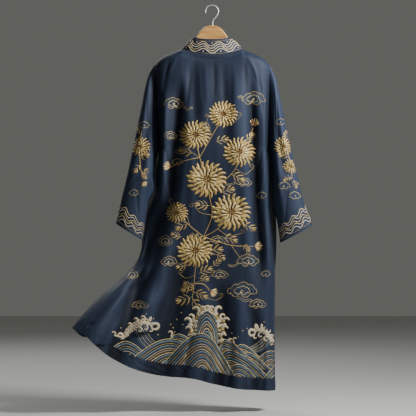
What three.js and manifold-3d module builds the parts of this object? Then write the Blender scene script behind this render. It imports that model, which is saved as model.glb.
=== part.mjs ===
// A navy robe of kimono cut that hangs on a wooden hanger, its hem blown to one side.
// Millimetres, +Z up. The back of the robe faces -Y, and +X is on the right of someone who looks at
// that back.
// The origin is under the crown of the hook, where a rail carries it.
import * as THREE from "three";
import Module from "manifold-3d";

// Driving dimensions.
const CLOTH = 2; // wall of the cloth
const BAND = 3; // wall of the folded collar band
const SEAM_GAP = 0.3; // between two pieces at a seam
const CUT_GAP = 1; // between two walls of one piece, along the slanting columns of its points
const SHOULDER_X = 212; // from the middle to the shoulder point
const SHOULDER_Z = -220;
const NECK_X = 112; // from the middle to the side of the neck
const NECK_Z = -161;
const BACK_NECK_DIP = 22; // how far the back neckline hangs below the sides of the neck
const NECK_DEPTH = 42; // from the shoulder line out to the neckline in the middle
const NECK_ACROSS = NECK_X / SHOULDER_X;
const ARMHOLE_DEPTH = 14; // half the width of the armhole, from front to back
const UNDERARM = 0.26; // share of the robe's length that the armhole takes
const RIDGE = 0.022; // share of the length over which the cloth rounds off the shoulder
const OVERLAP_LIFT = 9; // how far the upper front lies out from the under one

// The side seams from the underarm to the hem, by share of the robe's length.
const LEFT_SIDE = [
  { share: 0.26, x: -193.5, z: -532 },
  { share: 0.33, x: -205.5, z: -612 },
  { share: 0.39, x: -214, z: -680 },
  { share: 0.45, x: -238, z: -750 },
  { share: 0.51, x: -250, z: -827 },
  { share: 0.58, x: -261, z: -901 },
  { share: 0.63, x: -281, z: -949 },
  { share: 0.7, x: -330, z: -1001 },
  { share: 0.8, x: -403, z: -1062 },
  { share: 0.9, x: -458, z: -1119 },
  { share: 1, x: -507, z: -1178 },
];
const RIGHT_SIDE = [
  { share: 0.26, x: 204, z: -532 },
  { share: 0.36, x: 214, z: -650 },
  { share: 0.45, x: 219, z: -755 },
  { share: 0.55, x: 226, z: -870 },
  { share: 0.65, x: 231, z: -990 },
  { share: 0.85, x: 230, z: -1235 },
  { share: 1, x: 232, z: -1412 },
];

// The two hems from the left seam to the right one, by share of the width.
const BACK_HEM = [
  { share: 0, x: -507, z: -1178 },
  { share: 0.06, x: -455, z: -1203 },
  { share: 0.12, x: -407, z: -1248 },
  { share: 0.19, x: -357, z: -1288 },
  { share: 0.28, x: -276, z: -1327 },
  { share: 0.37, x: -188, z: -1353 },
  { share: 0.5, x: -68, z: -1364 },
  { share: 0.6, x: 6, z: -1384 },
  { share: 0.74, x: 96, z: -1401 },
  { share: 1, x: 232, z: -1412 },
];
const FRONT_HEM = [
  { share: 0, x: -507, z: -1178 },
  { share: 0.05, x: -474, z: -1212 },
  { share: 0.1, x: -430, z: -1217 },
  { share: 0.19, x: -357, z: -1259 },
  { share: 0.28, x: -276, z: -1299 },
  { share: 0.37, x: -188, z: -1327 },
  { share: 0.5, x: -68, z: -1343 },
  { share: 0.6, x: 6, z: -1363 },
  { share: 0.74, x: 96, z: -1381 },
  { share: 1, x: 232, z: -1412 },
];

// The shoulder line, from the side of the neck to the shoulder point.
const SHOULDER_LINE = [
  { x: NECK_X, z: NECK_Z },
  { x: 150, z: -176 },
  { x: 188, z: -195 },
  { x: SHOULDER_X, z: SHOULDER_Z },
];

// Half the distance between back and front in the middle of the robe, by share of its length.
const FULLNESS = [
  { share: 0, back: 44, front: 44 },
  { share: 0.06, back: 54, front: 50 },
  { share: 0.16, back: 68, front: 60 },
  { share: 0.3, back: 74, front: 66 },
  { share: 0.5, back: 66, front: 60 },
  { share: 0.7, back: 74, front: 62 },
  { share: 0.85, back: 88, front: 74 },
  { share: 1, back: 98, front: 84 },
];

// The largest folds: a ridge has a height above 0 and a valley one below it. Each runs from its top
// point through its middle one to its foot, and dies away at both ends.
const BACK_FOLDS = [
  { x: [-112, -136, -160], z: [-255, -565, -805], width: 24, height: -30 },
  { x: [-160, -205, -270], z: [-695, -835, -985], width: 34, height: -22 },
  { x: [-168, -176, -190], z: [-275, -485, -765], width: 15, height: 13 },
  { x: [140, 152, 186], z: [-205, -565, -1105], width: 20, height: -28 },
  { x: [192, 196, 216], z: [-265, -605, -1065], width: 12, height: 9 },
  { x: [-60, -64, -56], z: [-185, -305, -465], width: 16, height: -9 },
  { x: [-26, -22, -30], z: [-195, -335, -525], width: 18, height: 6 },
  { x: [44, 52, 50], z: [-195, -365, -605], width: 18, height: -7 },
  { x: [84, 88, 96], z: [-195, -385, -645], width: 18, height: 8 },
  { x: [-140, -188, -250], z: [-805, -985, -1195], width: 30, height: 17 },
  { x: [-90, -140, -190], z: [-905, -1135, -1375], width: 34, height: -16 },
  { x: [-280, -350, -440], z: [-935, -1075, -1235], width: 40, height: 16 },
  { x: [-240, -300, -366], z: [-935, -1115, -1315], width: 38, height: -20 },
  { x: [-216, -250, -280], z: [-1005, -1175, -1355], width: 32, height: 13 },
  { x: [-20, -40, -70], z: [-965, -1185, -1395], width: 30, height: 11 },
  { x: [40, 36, 20], z: [-1005, -1205, -1405], width: 24, height: -12 },
  { x: [100, 104, 92], z: [-985, -1205, -1425], width: 26, height: 12 },
  { x: [150, 160, 156], z: [-1065, -1235, -1425], width: 20, height: -12 },
  { x: [198, 204, 206], z: [-1085, -1245, -1425], width: 14, height: 8 },
];
const FRONT_FOLDS = [
  { x: [-150, -160, -182], z: [-245, -525, -865], width: 22, height: -22 },
  { x: [-120, -124, -140], z: [-305, -565, -905], width: 16, height: 10 },
  { x: [150, 156, 176], z: [-245, -565, -1005], width: 22, height: -22 },
  { x: [110, 118, 130], z: [-325, -645, -1025], width: 16, height: 10 },
  { x: [-160, -214, -262], z: [-765, -965, -1265], width: 32, height: 13 },
  { x: [-240, -310, -380], z: [-925, -1085, -1255], width: 40, height: -15 },
  { x: [-90, -110, -130], z: [-865, -1105, -1365], width: 24, height: -14 },
  { x: [100, 96, 88], z: [-905, -1145, -1405], width: 24, height: 12 },
  { x: [160, 166, 168], z: [-985, -1185, -1425], width: 22, height: -13 },
];

// Folds die away at both ends, except that those below this height run out through the hem.
const FOLD_FADE = 0.3; // share of a fold's length
const THROUGH_HEM = -1155;

// The wind carries the lower left of the robe towards -Y, more and more to the left and down.
const BILLOW = { reach: 125, right: -120, left: -510, top: -865, foot: -1205 };

// The hanging sleeves push the side seams behind them towards +Y.
const SLEEVE_PUSH = {
  "-1": { reach: 34, inside: -130, outside: -235, top: -545, middle: -745, foot: -965 },
  1: { reach: 12, inside: 140, outside: 215, top: -545, middle: -735, foot: -905 },
};

// Under the arms the fronts swell out past the side seams, behind the hanging sleeves. The reach is
// for a point this share of the way from the side seam to the front edge, less on both sides of it.
const SWELL_AT = 0.1;
const FRONT_SWELL = [
  { share: 0.26, left: 0, right: 0 },
  { share: 0.31, left: 24, right: 24 },
  { share: 0.37, left: 28, right: 26 },
  { share: 0.46, left: 28, right: 24 },
  { share: 0.54, left: 24, right: 22 },
  { share: 0.6, left: 10, right: 16 },
  { share: 0.66, left: 0, right: 11 },
  { share: 0.77, left: 0, right: 0 },
  { share: 1, left: 0, right: 0 },
];

// Where the two front edges run: the share of the width that each reaches across, from the middle.
const FRONT_EDGE = [
  { share: 0, across: NECK_ACROSS },
  { share: 0.04, across: 0.47 },
  { share: 0.1, across: 0.36 },
  { share: 0.17, across: 0.2 },
  { share: 0.24, across: 0.04 },
  { share: 0.31, across: -0.1 },
  { share: 0.4, across: -0.16 },
  { share: 1, across: -0.16 },
];

// The sleeves: the top fold, the under seam and half the depth from front to back, down to the cuff.
const LEFT_SLEEVE = [
  { top: [-212, -220], under: [-193.5, -532], depth: ARMHOLE_DEPTH, middle: 0 },
  { top: [-233, -257], under: [-207, -573], depth: 31, middle: -4 },
  { top: [-246, -306], under: [-209, -605], depth: 36, middle: -8 },
  { top: [-257, -365], under: [-209, -633], depth: 38, middle: -12 },
  { top: [-270, -430], under: [-210, -655], depth: 39, middle: -16 },
  { top: [-283, -496], under: [-210, -677], depth: 39, middle: -20 },
  { top: [-296, -558], under: [-222, -695], depth: 38, middle: -25 },
  { top: [-308, -616], under: [-234, -721], depth: 37, middle: -30 },
  { top: [-321, -671], under: [-241, -762], depth: 37, middle: -34 },
  { top: [-336, -733], under: [-248, -811], depth: 39, middle: -36 },
  { top: [-351, -801], under: [-256, -861], depth: 41, middle: -36 },
];
const RIGHT_SLEEVE = [
  { top: [212, -220], under: [204, -532], depth: ARMHOLE_DEPTH, middle: 0 },
  { top: [231, -259], under: [219, -577], depth: 31, middle: -2 },
  { top: [243, -306], under: [221, -611], depth: 36, middle: -4 },
  { top: [255, -365], under: [222, -645], depth: 39, middle: -6 },
  { top: [268, -430], under: [222, -677], depth: 41, middle: -8 },
  { top: [281, -487], under: [223, -707], depth: 42, middle: -10 },
  { top: [296, -553], under: [227, -733], depth: 42, middle: -13 },
  { top: [311, -620], under: [238, -759], depth: 41, middle: -16 },
  { top: [325, -682], under: [246, -787], depth: 41, middle: -18 },
  { top: [344, -743], under: [253, -823], depth: 43, middle: -19 },
  { top: [370, -806], under: [261, -871], depth: 45, middle: -19 },
];
// Soft folds round a sleeve: the angle from the top fold, back of the robe first, and the share of the
// sleeve's length.
const SLEEVE_FOLDS = [
  { angle: 45, turn: 14, share: 0.3, length: 0.3, width: 16, height: 7 },
  { angle: 78, turn: -10, share: 0.42, length: 0.34, width: 15, height: -8 },
  { angle: 112, turn: 12, share: 0.6, length: 0.3, width: 15, height: 6 },
  { angle: 238, turn: -12, share: 0.4, length: 0.34, width: 18, height: 7 },
  { angle: 282, turn: 10, share: 0.5, length: 0.36, width: 18, height: -8 },
];

// The standing part of the collar, by share of the way from the back of the neck to its side, and on down
// the front: how far its free edge lies in towards the neck, to the front and up from the seam.
const COLLAR_STAND = [
  { way: 0, inwards: 0, front: 14, up: 58 },
  { way: 0.5, inwards: 12, front: 13, up: 55 },
  { way: 0.85, inwards: 33, front: 9, up: 49 },
  { way: 1, inwards: 44, front: 4, up: 43 },
  { way: 1.12, inwards: 45, front: 4, up: 34 },
  { way: 1.3, inwards: 44, front: 6, up: 18 },
  { way: 1.6, inwards: 42, front: 6, up: 4 },
];
const COLLAR_WIDTH = 58; // of the folded band
const COLLAR_GAP = 0.45; // from the cloth that it is sewn to
const COLLAR_END = 0.6; // share of the robe's length where the collar ends
const COLLAR_ROOT = 7; // from the seam to the line where the band has turned to its own direction
const COLLAR_FLAT = { from: 1.08, to: 1.5 }; // way over which the band turns down onto the chest

// The hanger: its upper edge up to the cloth, and its under edge.
const HANGER_TOP = [
  { x: 0, z: -72.5 },
  { x: 15, z: -74 },
  { x: 30, z: -81 },
  { x: 45, z: -96 },
  { x: 60, z: -119 },
  { x: 78, z: -143 },
  { x: 96, z: -159 },
  { x: NECK_X, z: -165.5 },
];
const HANGER_UNDER = [
  { x: 0, z: -145 },
  { x: 40, z: -155 },
  { x: 80, z: -177 },
  { x: 110, z: -195 },
  { x: 150, z: -211 },
  { x: 200, z: -233 },
];
const ARM_END_X = 194;
const ARM_ROUND_END = 7; // how far the rounded tip goes on
const ARM_SEAT_GAP = 0.95; // from the arm to the cloth that it carries
const WOOD_DEPTH = 15;
const WOOD_ROUND = 6;
const HOOK_WIRE = 1.9; // radius
const HOOK_BEND = 23.6; // radius of the crown to the middle of the wire
const HOOK_DEEP = 24; // how far the stem goes into the wood
const HOOK_CLEAR = 0.3;
const HOOK_STEM_X = 2;
const HOOK_NECK = [
  { x: HOOK_STEM_X, up: -HOOK_DEEP },
  { x: HOOK_STEM_X, up: -10 },
  { x: HOOK_STEM_X, up: 8 },
  { x: 4.5, up: 18 },
  { x: 13, up: 28 },
]; // the stem and the easy bend over it, measured up from the top of the wood
const HOOK_CROWN = { from: -26, to: 194, step: 22 }; // degrees round the crown
const HOOK_TIP = 0.55; // share of the wire's width that its rounded tip keeps

// A smooth curve through the rows of a table, read by one of its columns.
function reader(rows, by) {
  const slope = (i, column) => {
    const a = rows[Math.max(0, i - 1)];
    const b = rows[Math.min(rows.length - 1, i + 1)];
    return (b[column] - a[column]) / (b[by] - a[by]);
  };
  return (value, column) => {
    let i = 0;
    while (i < rows.length - 2 && value > rows[i + 1][by]) i += 1;
    const a = rows[i];
    const b = rows[i + 1];
    const span = b[by] - a[by];
    const s = Math.min(1, Math.max(0, (value - a[by]) / span));
    const rise = s * s * (3 - 2 * s);
    const start = s * (1 - s) * (1 - s) * span * slope(i, column);
    const finish = s * s * (s - 1) * span * slope(i + 1, column);
    return a[column] + (b[column] - a[column]) * rise + start + finish;
  };
}

const mix = (a, b, s) => a + (b - a) * s;
const ease = (from, to, value) => {
  const s = Math.min(1, Math.max(0, (value - from) / (to - from)));
  return s * s * (3 - 2 * s);
};

const shoulderLine = reader(SHOULDER_LINE, "x");
const fullness = reader(FULLNESS, "share");
const sides = { "-1": reader(LEFT_SIDE, "share"), 1: reader(RIGHT_SIDE, "share") };
const sideRows = { "-1": LEFT_SIDE, 1: RIGHT_SIDE };
const hems = { back: reader(BACK_HEM, "share"), front: reader(FRONT_HEM, "share") };

// The edge of back and front on one side: the straight armhole, then the side seam.
function sidePoint(side, share) {
  if (share <= UNDERARM) {
    const under = sideRows[side][0];
    const s = share / UNDERARM;
    return { x: mix(side * SHOULDER_X, under.x, s), z: mix(SHOULDER_Z, under.z, s) };
  }
  return { x: sides[side](share, "x"), z: sides[side](share, "z") };
}

// The top edge: the two shoulders, with the neckline between them.
function topPoint(face, across) {
  const x = SHOULDER_X * across;
  if (Math.abs(x) >= NECK_X) return { x, z: shoulderLine(Math.abs(x), "z") };
  const dip = face === "back" ? BACK_NECK_DIP : 0;
  return { x, z: NECK_Z - dip * (1 - (x / NECK_X) ** 2) };
}

// The place of a point in the outline, seen from behind, filled in between the four edges.
function outlinePoint(face, across, share) {
  const s = (across + 1) / 2;
  const top = topPoint(face, across);
  const hem = { x: hems[face](s, "x"), z: hems[face](s, "z") };
  const left = sidePoint(-1, share);
  const right = sidePoint(1, share);
  const fill = (key) => {
    const corners =
      (1 - s) * (1 - share) * sidePoint(-1, 0)[key] +
      s * (1 - share) * sidePoint(1, 0)[key] +
      (1 - s) * share * sidePoint(-1, 1)[key] +
      s * share * sidePoint(1, 1)[key];
    return (1 - share) * top[key] + share * hem[key] + (1 - s) * left[key] + s * right[key] - corners;
  };
  return { x: fill("x"), z: fill("z") };
}

// How far the wind and the sleeves shift the middle of the robe along Y.
function sideShift(x, z) {
  const { reach, inside, outside, top, middle, foot } = SLEEVE_PUSH[x < 0 ? -1 : 1];
  const push = ease(inside, outside, x) * ease(top, middle, z) * (1 - ease(middle, foot, z));
  const blown = ease(BILLOW.right, BILLOW.left, x) * ease(BILLOW.top, BILLOW.foot, z);
  return reach * push - BILLOW.reach * blown;
}

function foldHeight(folds, x, z) {
  let height = 0;
  for (const fold of folds) {
    const [top, middle, foot] = fold.z;
    const s = (top - z) / (top - foot);
    if (s <= 0 || s >= 1) continue;
    const half = (top - middle) / (top - foot);
    const bow = (fold.x[1] - mix(fold.x[0], fold.x[2], half)) / (half * (1 - half));
    const centre = mix(fold.x[0], fold.x[2], s) + bow * s * (1 - s);
    const fade = ease(0, FOLD_FADE, s) * (z < THROUGH_HEM ? 1 : ease(0, FOLD_FADE, 1 - s));
    height += fold.height * fade * Math.exp(-(((x - centre) / fold.width) ** 2));
  }
  return height;
}

// Half the width of the armhole at a share of the robe's length.
function armholeDepth(share) {
  const s = Math.min(1, share / UNDERARM);
  return ARMHOLE_DEPTH * Math.sqrt(Math.max(0, 1 - (2 * s - 1) ** 2));
}

// A point on the middle of the cloth. Across runs from -1 to 1, and share from the top edge to the hem.
function clothPoint(face, across, share) {
  const { x, z } = outlinePoint(face, across, share);
  const wide = Math.abs(across);
  const ridge = Math.sqrt(1 - (1 - Math.min(share / RIDGE, 1)) ** 2);
  const neck = SHOULDER_X * wide < NECK_X ? (1 - ((SHOULDER_X * wide) / NECK_X) ** 2) ** 0.6 : 0;
  const rounded = Math.sqrt(Math.max(0, 1 - wide ** 5));
  const full = mix(NECK_DEPTH * neck, fullness(share, face), ridge);
  const edge = armholeDepth(share);
  const folds = foldHeight(face === "back" ? BACK_FOLDS : FRONT_FOLDS, x, z);
  const depth = edge + (full - edge) * rounded + folds * ease(0, 0.08, 1 - wide) * ridge;
  return new THREE.Vector3(x, sideShift(x, z) + (face === "back" ? -depth : depth), z);
}

// The upper front lies out from the under one where they cross.
function frontPoint(side, across, share) {
  const point = clothPoint("front", across, share);
  if (side < 0) point.y += OVERLAP_LIFT * ease(-0.66, -0.4, across) * ease(0.06, 0.2, share);
  return point;
}

// Gives each point of a grid the direction in which the cloth faces there.
function facing(points, looped, turn) {
  const rows = points.length;
  const count = points[0].length;
  return points.map((row, j) =>
    row.map((point, i) => {
      const left = looped ? row[(i + count - 1) % count] : row[Math.max(0, i - 1)];
      const right = looped ? row[(i + 1) % count] : row[Math.min(count - 1, i + 1)];
      const above = points[Math.max(0, j - 1)][i];
      const below = points[Math.min(rows - 1, j + 1)][i];
      const along = right.clone().sub(left);
      return along.cross(below.clone().sub(above)).normalize().multiplyScalar(turn);
    }),
  );
}

// One closed wall through a grid of points, half its thickness to each side of them.
function wall(points, out, thickness, turn) {
  const rows = points.length;
  const count = points[0].length;
  const position = [];
  const place = (point, normal, reach) => position.push(...point.clone().addScaledVector(normal, reach));
  for (const reach of [thickness / 2, -thickness / 2])
    points.forEach((row, j) => row.forEach((point, i) => place(point, out[j][i], reach)));
  const inner = rows * count;
  const index = [];
  const face = (a, b, c, d) => (turn > 0 ? index.push(a, c, b, b, c, d) : index.push(a, b, c, b, d, c));
  const last = count - 1;
  const at = (j, i) => j * count + i;
  for (let j = 0; j < rows - 1; j += 1)
    for (let i = 0; i < last; i += 1) {
      face(at(j, i), at(j + 1, i), at(j, i + 1), at(j + 1, i + 1));
      face(inner + at(j, i + 1), inner + at(j + 1, i + 1), inner + at(j, i), inner + at(j + 1, i));
    }
  for (let i = 0; i < last; i += 1) {
    face(at(0, i), at(0, i + 1), inner + at(0, i), inner + at(0, i + 1));
    face(at(rows - 1, i + 1), at(rows - 1, i), inner + at(rows - 1, i + 1), inner + at(rows - 1, i));
  }
  for (let j = 0; j < rows - 1; j += 1) {
    face(at(j + 1, 0), at(j, 0), inner + at(j + 1, 0), inner + at(j, 0));
    face(at(j, last), at(j + 1, last), inner + at(j, last), inner + at(j + 1, last));
  }
  const geometry = new THREE.BufferGeometry();
  geometry.setAttribute("position", new THREE.Float32BufferAttribute(position, 3));
  geometry.setIndex(index);
  geometry.computeVertexNormals();
  return geometry;
}

// Directions in which the wall's thickness is laid at the seams, so that both pieces of a seam end on
// the same plane.
function armholeFrame(side) {
  const under = sideRows[side][0];
  const line = new THREE.Vector3(side * SHOULDER_X - under.x, 0, SHOULDER_Z - under.z);
  const half = line.length() / 2;
  line.normalize();
  const outwards = new THREE.Vector3(-line.z, 0, line.x).multiplyScalar(-side);
  return { line, half, outwards };
}

function armholeOut(side, cosine, sine) {
  const { line, half } = armholeFrame(side);
  const out = line.clone().multiplyScalar(cosine / half);
  out.y = sine / ARMHOLE_DEPTH;
  return out.normalize();
}

function seamOut(side, share) {
  const a = sidePoint(side, Math.max(UNDERARM, share - 0.01));
  const b = sidePoint(side, Math.min(1, share + 0.01));
  return new THREE.Vector3(-(b.z - a.z), 0, b.x - a.x).multiplyScalar(side).normalize();
}

function shoulderOut(across) {
  const a = topPoint("back", across - 0.01);
  const b = topPoint("back", across + 0.01);
  return new THREE.Vector3(-(b.z - a.z), 0, b.x - a.x).normalize();
}

// Trims one edge column of a panel to its armhole and side seam.
function trimSide(side, face, shares, points, out, column) {
  const sign = face === "back" ? -1 : 1;
  const { outwards } = armholeFrame(side);
  shares.forEach((share, j) => {
    if (share <= UNDERARM) {
      const cosine = 1 - (2 * share) / UNDERARM;
      out[j][column] = armholeOut(side, cosine, sign * Math.sqrt(Math.max(0, 1 - cosine * cosine)));
      points[j][column].addScaledVector(outwards, -SEAM_GAP / 2);
    } else out[j][column] = seamOut(side, share);
    if (share === 0 || share >= UNDERARM) points[j][column].y += (sign * SEAM_GAP) / 2;
  });
}

// Shares of the length at which the panels have a row of points: close together on the shoulder and
// at the underarm.
const ROWS = [
  ...[0, 20, 40, 62, 90].map((angle) => RIDGE * (1 - Math.cos(THREE.MathUtils.degToRad(angle)))),
  ...[0.045, 0.07, 0.1, 0.13, 0.16, 0.19, 0.22, 0.245, UNDERARM, 0.275, 0.3],
  ...Array.from({ length: 20 }, (_, i) => mix(0.335, 1, i / 19)),
];

// Where the walls are cut into shorter ones, by their rows or columns of points. The cloth itself goes
// on past these cuts.
const PANEL_CUTS = [
  { name: "upper", from: 0, to: 16 },
  { name: "middle", from: 16, to: 25 },
  { name: "lower", from: 25, to: 35 },
];
const BACK_STRIPS = [
  { name: "outer_left", from: 0, to: 8 },
  { name: "left", from: 8, to: 15 },
  { name: "right", from: 15, to: 30 },
];
const LEFT_FRONT_STRIPS = [
  { name: "outer", from: 0, to: 10 },
  { name: "inner", from: 10, to: 15 },
];
const RIGHT_FRONT_STRIPS = [{ from: 0, to: 15 }];
const SLEEVE_CUTS = [
  { name: "upper", from: 0, to: 9 },
  { name: "lower", from: 9, to: 15 },
];
const SLEEVE_HALVES = [
  { name: "back", from: 0, to: 13 },
  { name: "front", from: 13, to: 26 },
];

// Cuts one grid of points into several walls, so that the collision of each can follow the cloth. Two
// walls stop CUT_GAP apart. The ends of a row are a cut too where it goes all the way round.
function panes(points, out, turn, rowCuts, columnCuts, looped) {
  const lastRow = rowCuts.at(-1).to;
  const lastColumn = columnCuts.at(-1).to;
  const draw = (point, inner) => point.addScaledVector(inner.clone().sub(point).normalize(), CUT_GAP / 2);
  return rowCuts.flatMap((rowCut) =>
    columnCuts.map((columnCut) => {
      const part = (grid) =>
        grid.slice(rowCut.from, rowCut.to + 1).map((row) => row.slice(columnCut.from, columnCut.to + 1));
      const rows = part(points).map((row) => row.map((point) => point.clone()));
      if (rowCut.from > 0) rows[0].forEach((point, i) => draw(point, rows[1][i]));
      if (rowCut.to < lastRow) rows.at(-1).forEach((point, i) => draw(point, rows.at(-2)[i]));
      rows.forEach((row) => {
        if (looped || columnCut.from > 0) draw(row[0], row[1]);
        if (looped || columnCut.to < lastColumn) draw(row.at(-1), row.at(-2));
      });
      const name = [columnCut.name, rowCut.name].filter(Boolean).join("_");
      return { name, geometry: wall(rows, part(out), CLOTH, turn) };
    }),
  );
}

function backPanel() {
  const neckHalf = [0, 0.1, 0.2, 0.3, 0.38, 0.44, 0.49, NECK_ACROSS];
  const half = [...neckHalf, 0.61, 0.69, 0.77, 0.84, 0.9, 0.95, 0.985, 1];
  const columns = [...half.slice(1).map((u) => -u).reverse(), ...half];
  const points = ROWS.map((share) => columns.map((across) => clothPoint("back", across, share)));
  const out = facing(points, false, -1);
  columns.forEach((across, i) => {
    if (Math.abs(across) < NECK_ACROSS) return;
    out[0][i] = shoulderOut(across);
    if (Math.abs(across) < 1) points[0][i].y -= SEAM_GAP / 2;
  });
  trimSide(-1, "back", ROWS, points, out, 0);
  trimSide(1, "back", ROWS, points, out, columns.length - 1);
  const neck = columns.flatMap((across, i) => (Math.abs(across) <= NECK_ACROSS ? [i] : []));
  const seam = neck.map((i) => ({
    way: Math.abs(columns[i]) / NECK_ACROSS,
    side: Math.sign(columns[i]),
    point: points[0][i],
    out: out[0][i],
  }));
  return { walls: panes(points, out, -1, PANEL_CUTS, BACK_STRIPS, false), seam };
}

const frontEdge = reader(FRONT_EDGE, "share");
const frontSwell = reader(FRONT_SWELL, "share");

function frontPanel(side) {
  const steps = [0, 0.012, 0.03, 0.055, 0.085, 0.12, 0.16, 0.2, 0.28, 0.38, 0.48, 0.58, 0.68, 0.78, 0.89, 1];
  const acrossAt = (step, share) => side * mix(1, frontEdge(share, "across"), step);
  const points = ROWS.map((share) => steps.map((step) => frontPoint(side, acrossAt(step, share), share)));
  points.forEach((row, j) =>
    row.forEach((point, i) => {
      const swell = Math.sin((Math.PI / 2) * Math.min(2, steps[i] / SWELL_AT));
      point.x += side * swell * frontSwell(ROWS[j], side < 0 ? "left" : "right");
    }),
  );
  const out = facing(points, false, -side);
  steps.forEach((step, i) => {
    out[0][i] = shoulderOut(acrossAt(step, 0));
    if (i > 0) points[0][i].y += SEAM_GAP / 2;
  });
  trimSide(side, "front", ROWS, points, out, 0);
  const last = steps.length - 1;
  const seam = ROWS.filter((share) => share <= COLLAR_END).map((share, j) => ({
    way: 1 + 2 * share,
    side,
    share,
    point: points[j][last],
    out: out[j][last],
  }));
  const strips = side < 0 ? LEFT_FRONT_STRIPS : RIGHT_FRONT_STRIPS;
  return { walls: panes(points, out, -side, PANEL_CUTS, strips, false), seam };
}

// A sleeve is a tube of rings, each between its top fold and its under seam.
function sleeve(side) {
  const table = side < 0 ? LEFT_SLEEVE : RIGHT_SLEEVE;
  const rows = table.map((row, i) => ({
    share: i / (table.length - 1),
    topX: row.top[0],
    topZ: row.top[1],
    underX: row.under[0],
    underZ: row.under[1],
    depth: row.depth,
    middle: row.middle,
  }));
  const read = reader(rows, "share");
  const ringCount = 16;
  const around = 26;
  const { outwards } = armholeFrame(side);
  const out0 = [];
  const points = Array.from({ length: ringCount }, (_, j) => {
    const share = j / (ringCount - 1);
    const at = (column) => read(share, column);
    return Array.from({ length: around }, (_, i) => {
      const degrees = (i / around) * 360;
      const angle = THREE.MathUtils.degToRad(degrees);
      const s = (1 - Math.cos(angle)) / 2;
      let depth = at("depth");
      for (const fold of SLEEVE_FOLDS) {
        const middle = fold.angle + (fold.turn * (share - fold.share)) / fold.length;
        const fade = ease(0, 1, 1 - Math.abs(share - fold.share) / fold.length);
        depth += fold.height * fade * Math.exp(-(((degrees - middle) / fold.width) ** 2));
      }
      if (j === 0) out0.push(armholeOut(side, Math.cos(angle), -Math.sin(angle)));
      const point = new THREE.Vector3(
        mix(at("topX"), at("underX"), s),
        at("middle") - depth * Math.sin(angle),
        mix(at("topZ"), at("underZ"), s),
      );
      return j === 0 ? point.addScaledVector(outwards, SEAM_GAP / 2) : point;
    });
  });
  const out = facing(points, true, side);
  out[0] = out0;
  const closed = (grid) => grid.map((row) => [...row, row[0]]);
  return panes(closed(points), closed(out), side, SLEEVE_CUTS, SLEEVE_HALVES, true);
}

// The collar is one band, sewn edge to edge to the back of the neck and to both front edges. It stands
// round the neck and lies down on the chest.
function collar(backSeam, leftSeam, rightSeam) {
  const stand = reader(COLLAR_STAND, "way");
  const corner = (a, b) => ({ ...b, way: 1, point: a.point.clone().lerp(b.point, 0.5) });
  const stops = [
    ...leftSeam.slice(1).reverse(),
    corner(leftSeam[0], backSeam[0]),
    ...backSeam.slice(1, -1),
    corner(rightSeam[0], backSeam.at(-1)),
    ...rightSeam.slice(1),
  ];
  const points = stops.map(({ way, side, share, point, out }, j) => {
    const before = stops[Math.max(j - 1, 0)].point;
    const after = stops[Math.min(j + 1, stops.length - 1)].point;
    const inwards = after.clone().sub(before).cross(out).normalize().negate();
    const seam = point.clone().addScaledVector(inwards, COLLAR_GAP);
    const free = seam.clone();
    free.x -= side * stand(way, "inwards");
    free.y += stand(way, "front");
    free.z += stand(way, "up");
    if (way > 1) {
      const half = (sidePoint(1, share).x - sidePoint(-1, share).x) / 2;
      const flat = frontPoint(side, side * (frontEdge(share, "across") - COLLAR_WIDTH / half), share);
      free.lerp(flat, ease(COLLAR_FLAT.from, COLLAR_FLAT.to, way));
    }
    const root = seam.clone().addScaledVector(inwards, COLLAR_ROOT);
    root.lerp(seam.clone().lerp(free, COLLAR_ROOT / COLLAR_WIDTH), 0.5);
    return [seam, root, seam.clone().lerp(free, 0.52), free];
  });
  const out = facing(points, false, -1);
  stops.forEach((stop, j) => out[j][0].copy(stop.out));
  return wall(points, out, BAND, -1);
}

// A closed body through rings of points, each ring taken in the same order.
function loft(rings) {
  const count = rings[0].length;
  const ends = [rings[0], rings.at(-1)].map((ring) => {
    const middle = new THREE.Vector3();
    ring.forEach((point) => middle.add(point));
    return middle.divideScalar(count);
  });
  const position = [...rings.flat(), ...ends].flatMap((point) => point.toArray());
  const first = rings.length * count;
  const index = [];
  for (let i = 0; i < count; i += 1) {
    const next = (i + 1) % count;
    for (let j = 0; j < rings.length - 1; j += 1) {
      const [a, b] = [j * count + i, j * count + next];
      index.push(a, b, a + count, b, b + count, a + count);
    }
    const end = first - count;
    index.push(first, next, i, first + 1, end + i, end + next);
  }
  const geometry = new THREE.BufferGeometry();
  geometry.setAttribute("position", new THREE.Float32BufferAttribute(position, 3));
  geometry.setIndex(index);
  geometry.computeVertexNormals();
  return geometry;
}

// Solids for cutting.
const wasm = await Module();
wasm.setup();

function solidOf(geometry) {
  const vertProperties = geometry.attributes.position.array;
  const triVerts = new Uint32Array(geometry.index.array);
  return new wasm.Manifold(new wasm.Mesh({ numProp: 3, vertProperties, triVerts }));
}

function geometryOf(solid) {
  const mesh = solid.getMesh();
  const geometry = new THREE.BufferGeometry();
  geometry.setAttribute("position", new THREE.Float32BufferAttribute(mesh.vertProperties, 3));
  geometry.setIndex([...mesh.triVerts]);
  return geometry;
}

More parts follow.
